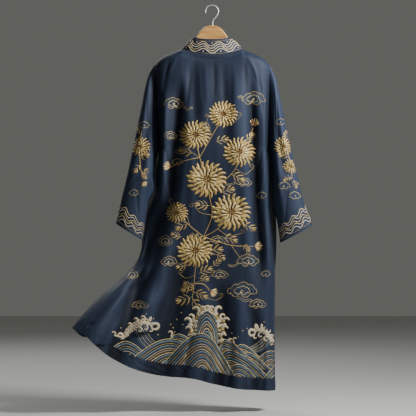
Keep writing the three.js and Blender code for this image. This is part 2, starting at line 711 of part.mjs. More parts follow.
// The wooden arms follow the shoulders, with rounded edges and a hole for the hook.
function hangerArms() {
  const topLine = reader(HANGER_TOP, "x");
  const underLine = reader(HANGER_UNDER, "x");
  const drop = CLOTH / 2 + ARM_SEAT_GAP;
  // Under the cloth an arm stays square below it by the same drop all the way.
  const armTop = (x) => {
    const slope = (shoulderLine(x + 1, "z") - shoulderLine(x - 1, "z")) / 2;
    return shoulderLine(x, "z") - drop * Math.hypot(1, slope);
  };
  const top = (x) => (x < NECK_X ? topLine(x, "z") : armTop(x));
  const xs = [];
  for (let x = 0; x < 72; x += 8) xs.push(x);
  for (let x = 72; x < ARM_END_X; x += 12) xs.push(x);
  const rings = [...xs.slice(1).map((x) => -x).reverse(), ...xs].map((x) => {
    const wide = Math.abs(x);
    return { x, high: top(wide), low: underLine(wide, "z"), depth: WOOD_DEPTH };
  });
  for (const share of [0.5, 0.87, 1]) {
    const squeeze = Math.sqrt(1 - (0.94 * share) ** 2);
    const high = top(ARM_END_X);
    const low = underLine(ARM_END_X, "z");
    const centre = (high + low) / 2;
    const end = {
      high: centre + ((high - low) / 2) * squeeze,
      low: centre - ((high - low) / 2) * squeeze,
      depth: WOOD_DEPTH * squeeze,
    };
    const x = ARM_END_X - 4 + ARM_ROUND_END * share;
    rings.unshift({ ...end, x: -x });
    rings.push({ ...end, x });
  }
  const points = rings.map(({ x, high, low, depth }) => {
    const round = Math.min(WOOD_ROUND, depth / 2.01, (high - low) / 2.01);
    const corners = [
      { y: 1, z: high - round, from: 0 },
      { y: -1, z: high - round, from: 90 },
      { y: -1, z: low + round, from: 180 },
      { y: 1, z: low + round, from: 270 },
    ];
    return corners.flatMap((corner) =>
      [0, 45, 90].map((degrees) => {
        const angle = THREE.MathUtils.degToRad(corner.from + degrees);
        const y = corner.y * (depth / 2 - round) + round * Math.cos(angle);
        return new THREE.Vector3(x, y, corner.z + round * Math.sin(angle));
      }),
    );
  });
  const hole = [HANGER_TOP[0].z - HOOK_DEEP - HOOK_CLEAR, 0].map((z) =>
    Array.from({ length: 14 }, (_, i) => {
      const angle = (i / 14) * 2 * Math.PI;
      const radius = HOOK_WIRE + HOOK_CLEAR;
      return new THREE.Vector3(HOOK_STEM_X + radius * Math.cos(angle), radius * Math.sin(angle), z);
    }),
  );
  return geometryOf(solidOf(loft(points)).subtract(solidOf(loft(hole))));
}

// The wire hook: a stem, an easy bend to the right, and a crown that ends on the left.
function hook() {
  const crown = HOOK_WIRE - HOOK_BEND;
  const stemTop = HANGER_TOP[0].z;
  const route = HOOK_NECK.map(({ x, up }) => new THREE.Vector3(x, 0, stemTop + up));
  for (let degrees = HOOK_CROWN.from; degrees <= HOOK_CROWN.to; degrees += HOOK_CROWN.step) {
    const angle = THREE.MathUtils.degToRad(degrees);
    const [x, z] = [HOOK_BEND * Math.cos(angle), crown + HOOK_BEND * Math.sin(angle)];
    route.push(new THREE.Vector3(x, 0, z));
  }
  const path = new THREE.CatmullRomCurve3(route);
  const steps = 44;
  const rings = Array.from({ length: steps + 1 }, (_, j) => {
    const centre = path.getPointAt(j / steps);
    const along = path.getTangentAt(j / steps);
    const side = new THREE.Vector3(along.z, 0, -along.x);
    const radius = HOOK_WIRE * (j === steps ? HOOK_TIP : 1);
    return Array.from({ length: 10 }, (_, i) => {
      const angle = (i / 10) * 2 * Math.PI;
      const point = centre.clone().addScaledVector(side, radius * Math.cos(angle));
      point.y += radius * Math.sin(angle);
      return point;
    });
  });
  return loft(rings);
}

// The cloth is matt silk, the hanger varnished beech with a steel hook.
const navy = { color: 0x232e49, roughness: 0.72, metalness: 0 };
const back = backPanel();
const frontLeft = frontPanel(-1);
const frontRight = frontPanel(1);
const collarBand = collar(back.seam, frontLeft.seam, frontRight.seam);
const clothWalls = [
  { name: "back", walls: back.walls },
  { name: "front_left", walls: frontLeft.walls },
  { name: "front_right", walls: frontRight.walls },
  { name: "sleeve_left", walls: sleeve(-1) },
  { name: "sleeve_right", walls: sleeve(1) },
].flatMap((piece) => piece.walls.map((one) => ({ ...one, name: `${piece.name}_${one.name}`, look: navy })));
const pieces = [
  ...clothWalls,
  { name: "collar", geometry: collarBand, look: { color: 0x1b2440, roughness: 0.7, metalness: 0 } },
  { name: "hanger_arms", geometry: hangerArms(), look: { color: 0xc08a4e, roughness: 0.45, metalness: 0 } },
  { name: "hanger_hook", geometry: hook(), look: { color: 0xb9babd, roughness: 0.3, metalness: 1 } },
];

const robe = new THREE.Group();
for (const { name, geometry, look } of pieces) {
  const mesh = new THREE.Mesh(geometry, new THREE.MeshStandardMaterial(look));
  mesh.name = name;
  robe.add(mesh);
}
export default robe;
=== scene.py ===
"""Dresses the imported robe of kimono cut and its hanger: cloth, embroidery, wood and steel."""

import math

import bpy
import numpy as np
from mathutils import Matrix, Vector
from mathutils.bvhtree import BVHTree


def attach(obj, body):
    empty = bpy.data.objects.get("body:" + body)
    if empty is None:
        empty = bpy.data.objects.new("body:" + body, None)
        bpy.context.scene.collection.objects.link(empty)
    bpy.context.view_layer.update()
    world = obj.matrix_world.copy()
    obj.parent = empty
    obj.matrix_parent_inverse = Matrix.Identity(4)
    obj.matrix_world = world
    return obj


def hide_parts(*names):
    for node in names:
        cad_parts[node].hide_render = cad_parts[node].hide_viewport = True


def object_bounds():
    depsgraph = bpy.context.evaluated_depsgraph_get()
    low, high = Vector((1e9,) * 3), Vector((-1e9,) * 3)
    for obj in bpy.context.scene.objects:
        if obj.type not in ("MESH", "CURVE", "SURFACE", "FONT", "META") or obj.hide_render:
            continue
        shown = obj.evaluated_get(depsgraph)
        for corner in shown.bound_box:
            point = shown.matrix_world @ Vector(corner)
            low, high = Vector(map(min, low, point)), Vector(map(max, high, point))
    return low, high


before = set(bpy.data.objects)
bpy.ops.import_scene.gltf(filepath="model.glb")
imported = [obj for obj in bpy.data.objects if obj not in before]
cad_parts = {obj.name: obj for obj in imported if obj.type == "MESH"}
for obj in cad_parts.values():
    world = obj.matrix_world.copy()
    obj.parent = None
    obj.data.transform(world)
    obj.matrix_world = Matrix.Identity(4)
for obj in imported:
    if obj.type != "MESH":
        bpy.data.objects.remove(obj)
cad_low, cad_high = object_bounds()

# The camera looks level at the back of the robe, from far enough away that near and far parts keep
# their true sizes. The photo's 416 pixels span 1.518 m at the cloth.
VIEW_WIDTH = 1.518
VIEW_CENTRE = Vector((-0.0146, -0.06, -0.744))
CAMERA_AWAY = 8.0
SENSOR = 36
camera_data = bpy.data.cameras.new("camera")
camera_data.sensor_width = SENSOR
camera_data.lens = SENSOR * CAMERA_AWAY / VIEW_WIDTH
camera = bpy.data.objects.new("camera", camera_data)
camera.location = VIEW_CENTRE + Vector((0, -CAMERA_AWAY, 0))
camera.rotation_euler = (math.radians(90), 0, 0)
bpy.context.collection.objects.link(camera)
bpy.context.scene.camera = camera

# The studio: a plain pale floor a hand's breadth under the hem, a pale surround, a lamp close by on the
# right, a weak wide one further off on the camera's side, and one behind that parts the cloth from the
# surround.
FLOOR_DROP = 0.075
FLOOR_SIZE = 14
FLOOR_PAINT = (0.56, 0.555, 0.54, 1)
FLOOR_ROUGHNESS = 0.8
SURROUND_COLOUR = (0.76, 0.77, 0.70, 1)
SURROUND_STRENGTH = 0.16
LAMPS = {
    "name": ("key_lamp", "fill_lamp", "back_lamp"),
    "place": ((1.2, -0.72, 0.42), (1.2, -3.0, 1.4), (-1.4, 2.8, 1.4)),
    "target": ((0, 0, -0.28), (0, 0, -0.2), (0, 0, -0.6)),
    "width": (0.5, 1.4, 1.6),
    "watts": (66, 13, 44),
}
bpy.ops.object.select_all(action="DESELECT")
bpy.ops.mesh.primitive_plane_add(size=FLOOR_SIZE, location=(0, 0, cad_low[2] - FLOOR_DROP))
floor = bpy.context.object
floor.name = "floor"
floor_paint = bpy.data.materials.new("floor_paint")
floor_paint.use_nodes = True
floor_shader = floor_paint.node_tree.nodes["Principled BSDF"]
floor_shader.inputs["Base Color"].default_value = FLOOR_PAINT
floor_shader.inputs["Roughness"].default_value = FLOOR_ROUGHNESS
floor.data.materials.append(floor_paint)

surround = bpy.data.worlds.new("surround")
surround.use_nodes = True
surround.node_tree.nodes["Background"].inputs["Color"].default_value = SURROUND_COLOUR
surround.node_tree.nodes["Background"].inputs["Strength"].default_value = SURROUND_STRENGTH
bpy.context.scene.world = surround

for name, place, target, width, watts in zip(*LAMPS.values()):
    lamp_data = bpy.data.lights.new(name, "AREA")
    lamp_data.shape = "SQUARE"
    lamp_data.size = width
    lamp_data.energy = watts
    lamp = bpy.data.objects.new(name, lamp_data)
    lamp.location = place
    lamp.rotation_euler = (Vector(target) - Vector(place)).to_track_quat("-Z", "Y").to_euler()
    bpy.context.collection.objects.link(lamp)

# The outline of the robe's body, seen from behind. Both panels are cut from it: back and front share
# the shoulders, the armholes and the side seams, and each has its own hem. Sizes are in metres.
SHOULDER_X = 0.212
SHOULDER_Z = -0.220
NECK_X = 0.112
NECK_Z = -0.161
NECK_ACROSS = NECK_X / SHOULDER_X
BACK_NECK_DIP = 0.022
NECK_DEPTH = 0.042
ARMHOLE_DEPTH = 0.014
UNDERARM = 0.26
RIDGE = 0.022
SHOULDER_LINE = {
    "x": (NECK_X, 0.150, 0.188, SHOULDER_X),
    "z": (NECK_Z, -0.176, -0.195, SHOULDER_Z),
}
LEFT_SIDE = {
    "share": (0.26, 0.33, 0.39, 0.45, 0.51, 0.58, 0.63, 0.7, 0.8, 0.9, 1),
    "x": (-0.1935, -0.2055, -0.214, -0.238, -0.25, -0.261, -0.281, -0.33, -0.403, -0.458, -0.507),
    "z": (-0.532, -0.612, -0.68, -0.75, -0.827, -0.901, -0.949, -1.001, -1.062, -1.119, -1.178),
}
RIGHT_SIDE = {
    "share": (0.26, 0.36, 0.45, 0.55, 0.65, 0.85, 1),
    "x": (0.204, 0.214, 0.219, 0.226, 0.231, 0.23, 0.232),
    "z": (-0.532, -0.65, -0.755, -0.87, -0.99, -1.235, -1.412),
}
BACK_HEM = {
    "share": (0, 0.06, 0.12, 0.19, 0.28, 0.37, 0.5, 0.6, 0.74, 1),
    "x": (-0.507, -0.455, -0.407, -0.357, -0.276, -0.188, -0.068, 0.006, 0.096, 0.232),
    "z": (-1.178, -1.203, -1.248, -1.288, -1.327, -1.353, -1.364, -1.384, -1.401, -1.412),
}
FRONT_HEM = {
    "share": (0, 0.05, 0.1, 0.19, 0.28, 0.37, 0.5, 0.6, 0.74, 1),
    "x": (-0.507, -0.474, -0.43, -0.357, -0.276, -0.188, -0.068, 0.006, 0.096, 0.232),
    "z": (-1.178, -1.212, -1.217, -1.259, -1.299, -1.327, -1.343, -1.363, -1.381, -1.412),
}
FULLNESS = {
    "share": (0, 0.06, 0.16, 0.3, 0.5, 0.7, 0.85, 1),
    "back": (0.044, 0.054, 0.068, 0.074, 0.066, 0.074, 0.088, 0.098),
    "front": (0.044, 0.05, 0.06, 0.066, 0.06, 0.062, 0.074, 0.084),
}


def curve_through(table, by, column):
    """A smooth curve through a column of a table, read by another column."""
    xs = np.array(table[by], float)
    ys = np.array(table[column], float)
    slope = np.empty_like(ys)
    slope[1:-1] = (ys[2:] - ys[:-2]) / (xs[2:] - xs[:-2])
    slope[0] = (ys[1] - ys[0]) / (xs[1] - xs[0])
    slope[-1] = (ys[-1] - ys[-2]) / (xs[-1] - xs[-2])

    def read(value):
        i = np.clip(np.searchsorted(xs, value, side="right") - 1, 0, len(xs) - 2)
        span = xs[i + 1] - xs[i]
        s = np.clip((value - xs[i]) / span, 0, 1)
        start = s * (1 - s) ** 2 * span * slope[i]
        finish = s * s * (s - 1) * span * slope[i + 1]
        return ys[i] + (ys[i + 1] - ys[i]) * s * s * (3 - 2 * s) + start + finish

    return read


def curves_through(table, by):
    """Such a curve through every other column."""
    return {column: curve_through(table, by, column) for column in table if column != by}


def unit(vectors):
    return vectors / np.maximum(np.linalg.norm(vectors, axis=-1, keepdims=True), 1e-12)


def ease(low, high, value):
    s = np.clip((value - low) / (high - low), 0, 1)
    return s * s * (3 - 2 * s)


shoulder_line = curve_through(SHOULDER_LINE, "x", "z")
fullness = curves_through(FULLNESS, "share")
side_curves = {-1: curves_through(LEFT_SIDE, "share"), 1: curves_through(RIGHT_SIDE, "share")}
hem_curves = {"back": curves_through(BACK_HEM, "share"), "front": curves_through(FRONT_HEM, "share")}


def side_point(side, share):
    """The straight armhole, and the side seam under it, as (x, z)."""
    share = np.asarray(share, float)
    at_x, at_z = side_curves[side].values()
    s = np.clip(share / UNDERARM, 0, 1)
    under_x, under_z = at_x(UNDERARM), at_z(UNDERARM)
    top_x = side * SHOULDER_X
    x = np.where(share <= UNDERARM, top_x + (under_x - top_x) * s, at_x(share))
    z = np.where(share <= UNDERARM, SHOULDER_Z + (under_z - SHOULDER_Z) * s, at_z(share))
    return x, z


def outline_point(face, across, share):
    """The place in the outline, filled in between its four edges. Across is -1 to 1, share 0 to 1."""
    s = (across + 1) / 2
    top_x = SHOULDER_X * across
    dip = BACK_NECK_DIP if face == "back" else 0
    neck_z = NECK_Z - dip * (1 - np.clip(np.abs(top_x) / NECK_X, 0, 1) ** 2)
    top_z = np.where(np.abs(top_x) >= NECK_X, shoulder_line(np.abs(top_x)), neck_z)
    left, right = side_point(-1, share), side_point(1, share)
    corners = [side_point(side, end) for side, end in ((-1, 0.0), (1, 0.0), (-1, 1.0), (1, 1.0))]
    filled = []
    for k, (top, hem) in enumerate(zip((top_x, top_z), hem_curves[face].values())):
        a, b, c, d = (corner[k] for corner in corners)
        blend = (1 - s) * (1 - share) * a + s * (1 - share) * b + (1 - s) * share * c + s * share * d
        filled.append((1 - share) * top + share * hem(s) + (1 - s) * left[k] + s * right[k] - blend)
    return filled


# The folds of the robe. Each row gives, in millimetres, x at its top, middle and foot, z at the same
# three, its width, and its height, which is below 0 for a valley. The first rows of each face are in the
# frame's solids too, and the finer creases of the hanging cloth follow them.
FOLDS = {
    "back": (
        (-112, -136, -160, -255, -565, -805, 24, -30), (-160, -205, -270, -695, -835, -985, 34, -22),
        (-168, -176, -190, -275, -485, -765, 15, 13), (140, 152, 186, -205, -565, -1105, 20, -28),
        (192, 196, 216, -265, -605, -1065, 12, 9), (-60, -64, -56, -185, -305, -465, 20, -6),
        (-26, -22, -30, -195, -335, -525, 20, 3.5), (44, 52, 50, -195, -365, -605, 22, -4.5),
        (84, 88, 96, -195, -385, -645, 22, 5), (-140, -188, -250, -805, -985, -1195, 30, 17),
        (-90, -140, -190, -905, -1135, -1375, 34, -16), (-280, -350, -440, -935, -1075, -1235, 40, 16),
        (-240, -300, -366, -935, -1115, -1315, 38, -20), (-216, -250, -280, -1005, -1175, -1355, 32, 13),
        (-20, -40, -70, -965, -1185, -1395, 30, 11), (40, 36, 20, -1005, -1205, -1405, 24, -12),
        (100, 104, 92, -985, -1205, -1425, 26, 12), (150, 160, 156, -1065, -1235, -1425, 20, -12),
        (198, 204, 206, -1085, -1245, -1425, 14, 8), (-80, -83, -98, -210, -290, -400, 8, -2.2),
        (-94, -100, -104, -250, -330, -470, 9, 1.8), (-40, -34, -28, -200, -265, -380, 8, -1.3),
        (6, 10, 8, -195, -260, -360, 7, -1.6), (28, 30, 36, -200, -300, -430, 9, 1.2),
        (70, 72, 70, -205, -300, -450, 8, -1.3), (118, 122, 128, -190, -280, -420, 8, -2),
        (128, 150, 172, -185, -225, -300, 7, 2.5), (160, 176, 186, -230, -300, -420, 6, -2.2),
        (-150, -164, -176, -190, -240, -330, 8, -2.6), (-120, -140, -160, -185, -215, -262, 8, 1.8),
        (-182, -164, -146, -500, -560, -640, 8, -3), (-186, -172, -160, -560, -625, -720, 9, 3),
        (190, 172, 160, -510, -580, -670, 8, -2.8), (196, 184, 176, -580, -650, -760, 8, 2.6),
        (-78, -70, -74, -480, -640, -830, 14, 3), (-20, -10, -16, -560, -720, -900, 13, -2.8),
        (40, 46, 40, -620, -790, -980, 16, 3.2), (96, 104, 110, -640, -800, -960, 12, -3),
        (-196, -222, -262, -830, -925, -1030, 12, 5), (-212, -262, -322, -905, -985, -1075, 14, -5),
        (-180, -216, -262, -960, -1075, -1210, 12, -4), (-262, -322, -392, -985, -1060, -1150, 15, 4.5),
        (-312, -372, -440, -1020, -1090, -1170, 12, -4), (-330, -360, -392, -1130, -1195, -1270, 13, 4.5),
        (-120, -160, -206, -1090, -1230, -1365, 14, 4.5), (-60, -86, -110, -1120, -1250, -1375, 12, -4),
        (12, 4, -12, -1060, -1230, -1392, 11, 3.5), (70, 68, 60, -1130, -1270, -1410, 11, -4),
        (126, 134, 130, -1110, -1260, -1415, 10, 3.5), (184, 188, 184, -1150, -1280, -1420, 9, -3),
    ),
    "front": (
        (-150, -160, -182, -245, -525, -865, 22, -22), (-120, -124, -140, -305, -565, -905, 16, 10),
        (150, 156, 176, -245, -565, -1005, 22, -22), (110, 118, 130, -325, -645, -1025, 16, 10),
        (-160, -214, -262, -765, -965, -1265, 32, 13), (-240, -310, -380, -925, -1085, -1255, 40, -15),
        (-90, -110, -130, -865, -1105, -1365, 24, -14), (100, 96, 88, -905, -1145, -1405, 24, 12),
        (160, 166, 168, -985, -1185, -1425, 22, -13), (-140, -134, -120, -200, -280, -400, 8, 3),
        (-176, -160, -140, -500, -570, -680, 9, -3.2), (140, 130, 118, -200, -270, -380, 8, 3),
        (188, 170, 152, -510, -590, -700, 9, -3), (-60, -66, -80, -620, -800, -1000, 14, 3.5),
        (50, 56, 50, -640, -850, -1080, 14, -3.5), (-200, -262, -330, -900, -1020, -1170, 14, 4.5),
        (-150, -180, -214, -1000, -1170, -1330, 12, -4), (20, 14, 4, -1060, -1220, -1360, 12, 4),
        (126, 132, 130, -1080, -1240, -1400, 11, -3.5),
    ),
}
FOLD_FADE = 0.3
FOLDS_REACH_HEM = -1.155
NECK_PULL = 0.0034  # the cloth sinks a little along the collar's seam
PULL_BELOW = 0.017
PULL_WIDTH = 0.006


def fold_height(face, x, z):
    height = np.zeros_like(x)
    for row in FOLDS[face]:
        top_x, middle_x, foot_x, top, middle, foot, width, rise = (value / 1000 for value in row)
        s = (top - z) / (top - foot)
        half = (top - middle) / (top - foot)
        straight = top_x + (foot_x - top_x) * half
        bow = (middle_x - straight) / (half * (1 - half))
        centre = top_x + (foot_x - top_x) * s + bow * s * (1 - s)
        foot_fade = np.where(z < FOLDS_REACH_HEM, 1, ease(0, FOLD_FADE, 1 - s))
        fade = ease(0, FOLD_FADE, s) * foot_fade * (s < 1)
        height += rise * fade * np.exp(-(((x - centre) / width) ** 2))
    return height


NECK_POWER = 0.6  # how fully the neck opens towards its corners
SIDE_POWER = 5  # how late the cloth turns in towards its side seams
BILLOW = 0.125
LEFT_PUSH = 0.034
RIGHT_PUSH = 0.012


def side_shift(x, z):
    """The wind carries the lower left towards -Y, and the hanging sleeves push the seams towards +Y."""
    billow = -BILLOW * ease(-0.120, -0.510, x) * ease(-0.865, -1.205, z)
    left = ease(-0.130, -0.235, x) * ease(-0.545, -0.745, z) * (1 - ease(-0.745, -0.965, z))
    right = ease(0.140, 0.215, x) * ease(-0.545, -0.735, z) * (1 - ease(-0.735, -0.905, z))
    return billow + np.where(x < 0, LEFT_PUSH * left, RIGHT_PUSH * right)


def cloth_point(face, across, share):
    """A point on the middle of the back or of the fronts."""
    x, z = outline_point(face, across, share)
    wide = np.abs(across)
    ridge = np.sqrt(1 - (1 - np.minimum(share / RIDGE, 1)) ** 2)
    neck = np.clip(1 - (SHOULDER_X * wide / NECK_X) ** 2, 0, 1) ** NECK_POWER
    rounded = np.sqrt(np.clip(1 - wide**SIDE_POWER, 0, 1))
    full = NECK_DEPTH * neck * (1 - ridge) + fullness[face](share) * ridge
    s = np.clip(share / UNDERARM, 0, 1)
    edge = ARMHOLE_DEPTH * np.sqrt(np.clip(1 - (2 * s - 1) ** 2, 0, 1))
    height = fold_height(face, x, z) * ease(0, 0.08, 1 - wide) * ridge
    if face == "back":
        below = NECK_Z - BACK_NECK_DIP * (1 - np.clip(np.abs(x) / NECK_X, 0, 1) ** 2) - z
        groove = np.exp(-(((below - PULL_BELOW) / PULL_WIDTH) ** 2))
        height = height - NECK_PULL * groove * ease(0.17, 0.11, np.abs(x))
    depth = edge + (full - edge) * rounded + height
    y = side_shift(x, z) + (-depth if face == "back" else depth)
    return np.stack([x, y, z], axis=-1)


def seam_out(side, share):
    """The way that the cloth faces along a side seam, for both of its pieces."""
    share = np.maximum(share, UNDERARM)
    low = side_point(side, np.maximum(share - 0.01, UNDERARM))
    high = side_point(side, np.minimum(share + 0.01, 1))
    out = [low[1] - high[1], np.zeros_like(share), high[0] - low[0]]
    return unit(np.stack(out, axis=-1) * side)


def armhole_out(side, cosine, sine):
    """The way that the cloth faces round an armhole, from shoulder to underarm and back."""
    line = np.array(side_point(side, 0.0)) - np.array(side_point(side, UNDERARM))
    half = np.linalg.norm(line) / 2
    line = line / np.linalg.norm(line)
    out = [line[0] * cosine / half, sine / ARMHOLE_DEPTH, line[1] * cosine / half]
    return unit(np.stack(out, axis=-1))


def shoulder_out(across):
    x = np.abs(SHOULDER_X * across)
    slope = (shoulder_line(x + 0.002) - shoulder_line(x - 0.002)) / 0.004
    out = [-slope * np.sign(across), np.zeros_like(across), np.ones_like(across)]
    return unit(np.stack(out, axis=-1))


def turn_seams(out, face, shares, across, sides):
    """Turns the edges of a panel so that it meets its neighbours without a step."""
    sign = -1 if face == "back" else 1
    cosine = 1 - 2 * np.clip(shares / UNDERARM, 0, 1)
    for side, column in sides.items():
        arm = armhole_out(side, cosine, sign * np.sqrt(np.clip(1 - cosine**2, 0, 1)))
        out[:, column] = np.where((shares <= UNDERARM)[:, None], arm, seam_out(side, shares))
    on_shoulder = np.abs(across) >= NECK_ACROSS
    out[0, on_shoulder] = shoulder_out(across[on_shoulder])
    return out


# The cloth: each panel is one thin shell, woven of navy silk. Its UV map holds the distance along the
# cloth in metres, across and down, so that the weave follows every fold.
CLOTH = 0.0014
# Reaches and depths that measure the folds for the silk's painted fold shade.
VALLEYS = ((3, 0.0012), (7, 0.005), (14, 0.014))  # points to each side, and the depth that counts as deep
SMOOTH_ANGLE = math.radians(60)


def facing(points, looped=False):
    """Unit vectors square to a grid of points, towards columns crossed with rows."""
    if looped:
        along = np.roll(points, -1, axis=1) - np.roll(points, 1, axis=1)
    else:
        along = np.gradient(points, axis=1)
    return unit(np.cross(along, np.gradient(points, axis=0)))


def lengths(points, axis):
    steps = np.linalg.norm(np.diff(points, axis=axis), axis=2)
    return np.insert(np.cumsum(steps, axis=axis), 0, 0, axis=axis)


# Painted fold shade: the silk is darkened by this in valleys and lightened on ridges.
def hollowness(points, out, looped):
    """How deep each point lies in a valley, from -1 on a ridge to 1 in a deep fold."""
    total = 0
    for reach, depth in VALLEYS:
        wide = np.pad(points, ((0, 0), (reach, reach), (0, 0)), mode="wrap" if looped else "edge")
        beside = (wide[:, : points.shape[1]] + wide[:, -points.shape[1] :]) / 2
        total = total + np.clip(((beside - points) * out).sum(axis=2) / depth, -1, 1) / 3
    return total


def numbered(rows, count, looped=False):
    """The numbers of a grid's points. A loop has its first column again at the end."""
    grid = np.arange(rows * count).reshape(rows, count)
    return np.concatenate([grid, grid[:, :1]], axis=1) if looped else grid


def quads(grid, order=(0, 1, 2, 3)):
    """The faces between the points of a grid, with their corners in a given order."""
    corners = (grid[:-1, :-1], grid[:-1, 1:], grid[1:, 1:], grid[1:, :-1])
    return np.stack([corners[k] for k in order], axis=-1).reshape(-1, 4)


def add_mesh(name, corners, faces, map_name, flat):
    """A smooth mesh with a UV map, whose places are given point by point."""
    mesh = bpy.data.meshes.new(name)
    mesh.from_pydata(corners.tolist(), [], faces)
    mesh.polygons.foreach_set("use_smooth", [True] * len(mesh.polygons))
    loops = np.empty(len(mesh.loops), dtype=np.int32)
    mesh.loops.foreach_get("vertex_index", loops)
    mesh.uv_layers.new(name=map_name).data.foreach_set("uv", flat[loops].ravel())
    made = bpy.data.objects.new(name, mesh)
    bpy.context.collection.objects.link(made)
    return made


def shell(name, points, out, thickness, turn, looped=False, painted_crease_shade=0):
    """One closed wall round a grid of points. Turn is 1 where columns crossed with rows face out."""
    rows, count = points.shape[:2]
    corners = np.concatenate([points + out * thickness / 2, points - out * thickness / 2])
    grid = numbered(rows, count, looped)
    inside = grid + rows * count
    forwards, backwards = (0, 1, 2, 3), (1, 0, 3, 2)
    rims = [(grid[0], inside[0], backwards), (grid[-1], inside[-1], forwards)]
    if not looped:
        rims += [(grid[:, 0], inside[:, 0], forwards), (grid[:, -1], inside[:, -1], backwards)]
    parts = [quads(grid), quads(inside, (0, 3, 2, 1))]
    parts += [quads(np.stack([outer, inner]), order) for outer, inner, order in rims]
    faces = np.concatenate(parts)[:, :: -1 if turn < 0 else 1]
    across = lengths(points, 1)
    across = across - across[:, count // 2 : count // 2 + 1]
    flat = np.stack([across, lengths(points, 0)], axis=-1).reshape(-1, 2)
    made = add_mesh(name, corners.reshape(-1, 3), faces.tolist(), "cloth", np.tile(flat, (2, 1)))
    # The valley attribute carries painted shade into the silk's colour: fold depth plus any painted
    # crease shade.
    valley = (hollowness(points, out, looped) + painted_crease_shade).ravel()
    attribute = made.data.attributes.new("valley", "FLOAT", "POINT")
    attribute.data.foreach_set("value", np.tile(valley, 2))
    bpy.ops.object.select_all(action="DESELECT")
    made.select_set(True)
    bpy.context.view_layer.objects.active = made
    bpy.ops.object.shade_smooth_by_angle(angle=SMOOTH_ANGLE)
    return made


class Value:
    """A number that varies over the surface. Python's operators on it add Math nodes."""

    def __init__(self, tree, socket):
        self.tree = tree
        self.socket = socket

    def _math(self, operation, first, second=None):
        node = self.tree.nodes.new("ShaderNodeMath")
        node.operation = operation
        for socket, value in zip(node.inputs, (first, second)):
            if isinstance(value, Value):
                self.tree.links.new(value.socket, socket)
            elif value is not None:
                socket.default_value = value
        return Value(self.tree, node.outputs[0])

    def __add__(self, other):
        return self._math("ADD", self, other)

    def __radd__(self, other):
        return self._math("ADD", other, self)

    def __sub__(self, other):
        return self._math("SUBTRACT", self, other)

    def __rsub__(self, other):
        return self._math("SUBTRACT", other, self)

    def __mul__(self, other):
        return self._math("MULTIPLY", self, other)

    def __rmul__(self, other):
        return self._math("MULTIPLY", other, self)

    def wave(self):
        return self._math("SINE", self)

    def at_most(self, other):
        return self._math("MINIMUM", self, other)

    def at_least(self, other):
        return self._math("MAXIMUM", self, other)


class Finish:
    """A material with one shader, and the nodes that feed it."""

    def __init__(self, name, **constants):
        self.material = bpy.data.materials.new(name)
        self.material.use_nodes = True
        self.tree = self.material.node_tree
        self.shader = self.tree.nodes["Principled BSDF"]
        for socket, value in constants.items():
            self.shader.inputs[socket.replace("_", " ").title()].default_value = value

    def node(self, kind, settings=(), output=0, **inputs):
        """Adds a node, sets it up, feeds its inputs, and gives one of its outputs."""
        made = self.tree.nodes.new(kind)
        for setting, value in dict(settings).items():
            setattr(made, setting, value)
        for key, value in inputs.items():
            socket = made.inputs[int(key[2:]) if key.startswith("in") else key.replace("_", " ")]
            if isinstance(value, Value):
                self.tree.links.new(value.socket, socket)
            else:
                socket.default_value = value
        return Value(self.tree, made.outputs[output])

    def noise(self, place, scale, detail=2, roughness=0.5):
        kind = "ShaderNodeTexNoise"
        return self.node(kind, Vector=place, Scale=scale, Detail=detail, Roughness=roughness)

    def stretch(self, place, by):
        return self.node("ShaderNodeVectorMath", {"operation": "MULTIPLY"}, in0=place, in1=by)

    def blend(self, first, second, factor):
        """Mixes two colours, each given as red, green, blue or as a value."""
        first = first if isinstance(first, Value) else (*first, 1)
        second = second if isinstance(second, Value) else (*second, 1)
        colours = {"data_type": "RGBA"}
        return self.node("ShaderNodeMix", colours, output=2, in0=factor, in6=first, in7=second)

    def attribute(self, name, output=2):
        """An attribute of the mesh: its colour is output 0, its number 2 and its alpha 3."""
        return self.node("ShaderNodeAttribute", {"attribute_name": name}, output=output)

    def split(self, place):
        """The three numbers of a place."""
        parts = self.node("ShaderNodeSeparateXYZ", in0=place).socket.node
        return [Value(self.tree, socket) for socket in parts.outputs]

    def feed(self, socket, value):
        self.tree.links.new(value.socket, self.shader.inputs[socket])

    def bump(self, height, distance, strength):
        """Raises the surface by a height from 0 to 1, which stands for a distance in metres."""
        bump = self.node("ShaderNodeBump", Height=height, Distance=distance, Strength=strength)
        self.feed("Normal", bump)


NAVY_DEEP = (0.0036, 0.0048, 0.0092)
NAVY_FAIR = (0.0245, 0.0345, 0.0640)
THREAD_PITCH = 0.0013


def silk():
    """Navy silk: a plain weave of slightly uneven threads, with painted shade in its folds and by the
    armholes, and painted light on its ridges.
    """
    made = Finish("navy_silk", sheen_weight=0.05, sheen_roughness=0.45, specular_tint=(0.8, 0.88, 1, 1))
    made.shader.inputs["Sheen Tint"].default_value = (0.5, 0.6, 0.85, 1)
    made.shader.inputs["Specular IOR Level"].default_value = 0.22
    place = made.node("ShaderNodeUVMap", {"uv_map": "cloth"})
    across, down, _ = made.split(place)
    turns = 2 * math.pi / THREAD_PITCH
    warp = (across * turns + made.noise(place, 90) * 3).wave()
    weft = (down * turns + made.noise(place, 70) * 3).wave()
    weave = warp * 0.25 + weft * 0.25 + 0.5
    slub = made.noise(made.stretch(place, (420, 9, 1)), 1, 3)
    cross = made.noise(made.stretch(place, (11, 380, 1)), 1, 3)
    cloud = made.noise(place, 6, 4, 0.6)
    streak = made.noise(made.stretch(place, (26, 2.2, 1)), 1, 3, 0.55)
    # Painted shade and light from the valley attribute: darker in folds and by the armholes, paler on
    # ridges.
    painted_fold_shade = made.attribute("valley")
    tone = cloud * 0.5 + streak * 0.4 + slub * 0.5 + cross * 0.3 + weave * 0.15 - painted_fold_shade * 0.42 - 0.43
    made.feed("Base Color", made.blend(NAVY_DEEP, NAVY_FAIR, tone.at_least(0).at_most(1)))
    made.feed("Roughness", cloud * 0.2 + slub * 0.1 + 0.45)
    made.bump(weave * 0.5 + slub * 0.7 + cross * 0.5, 0.0004, 0.5)
    return made.material


navy_silk = silk()


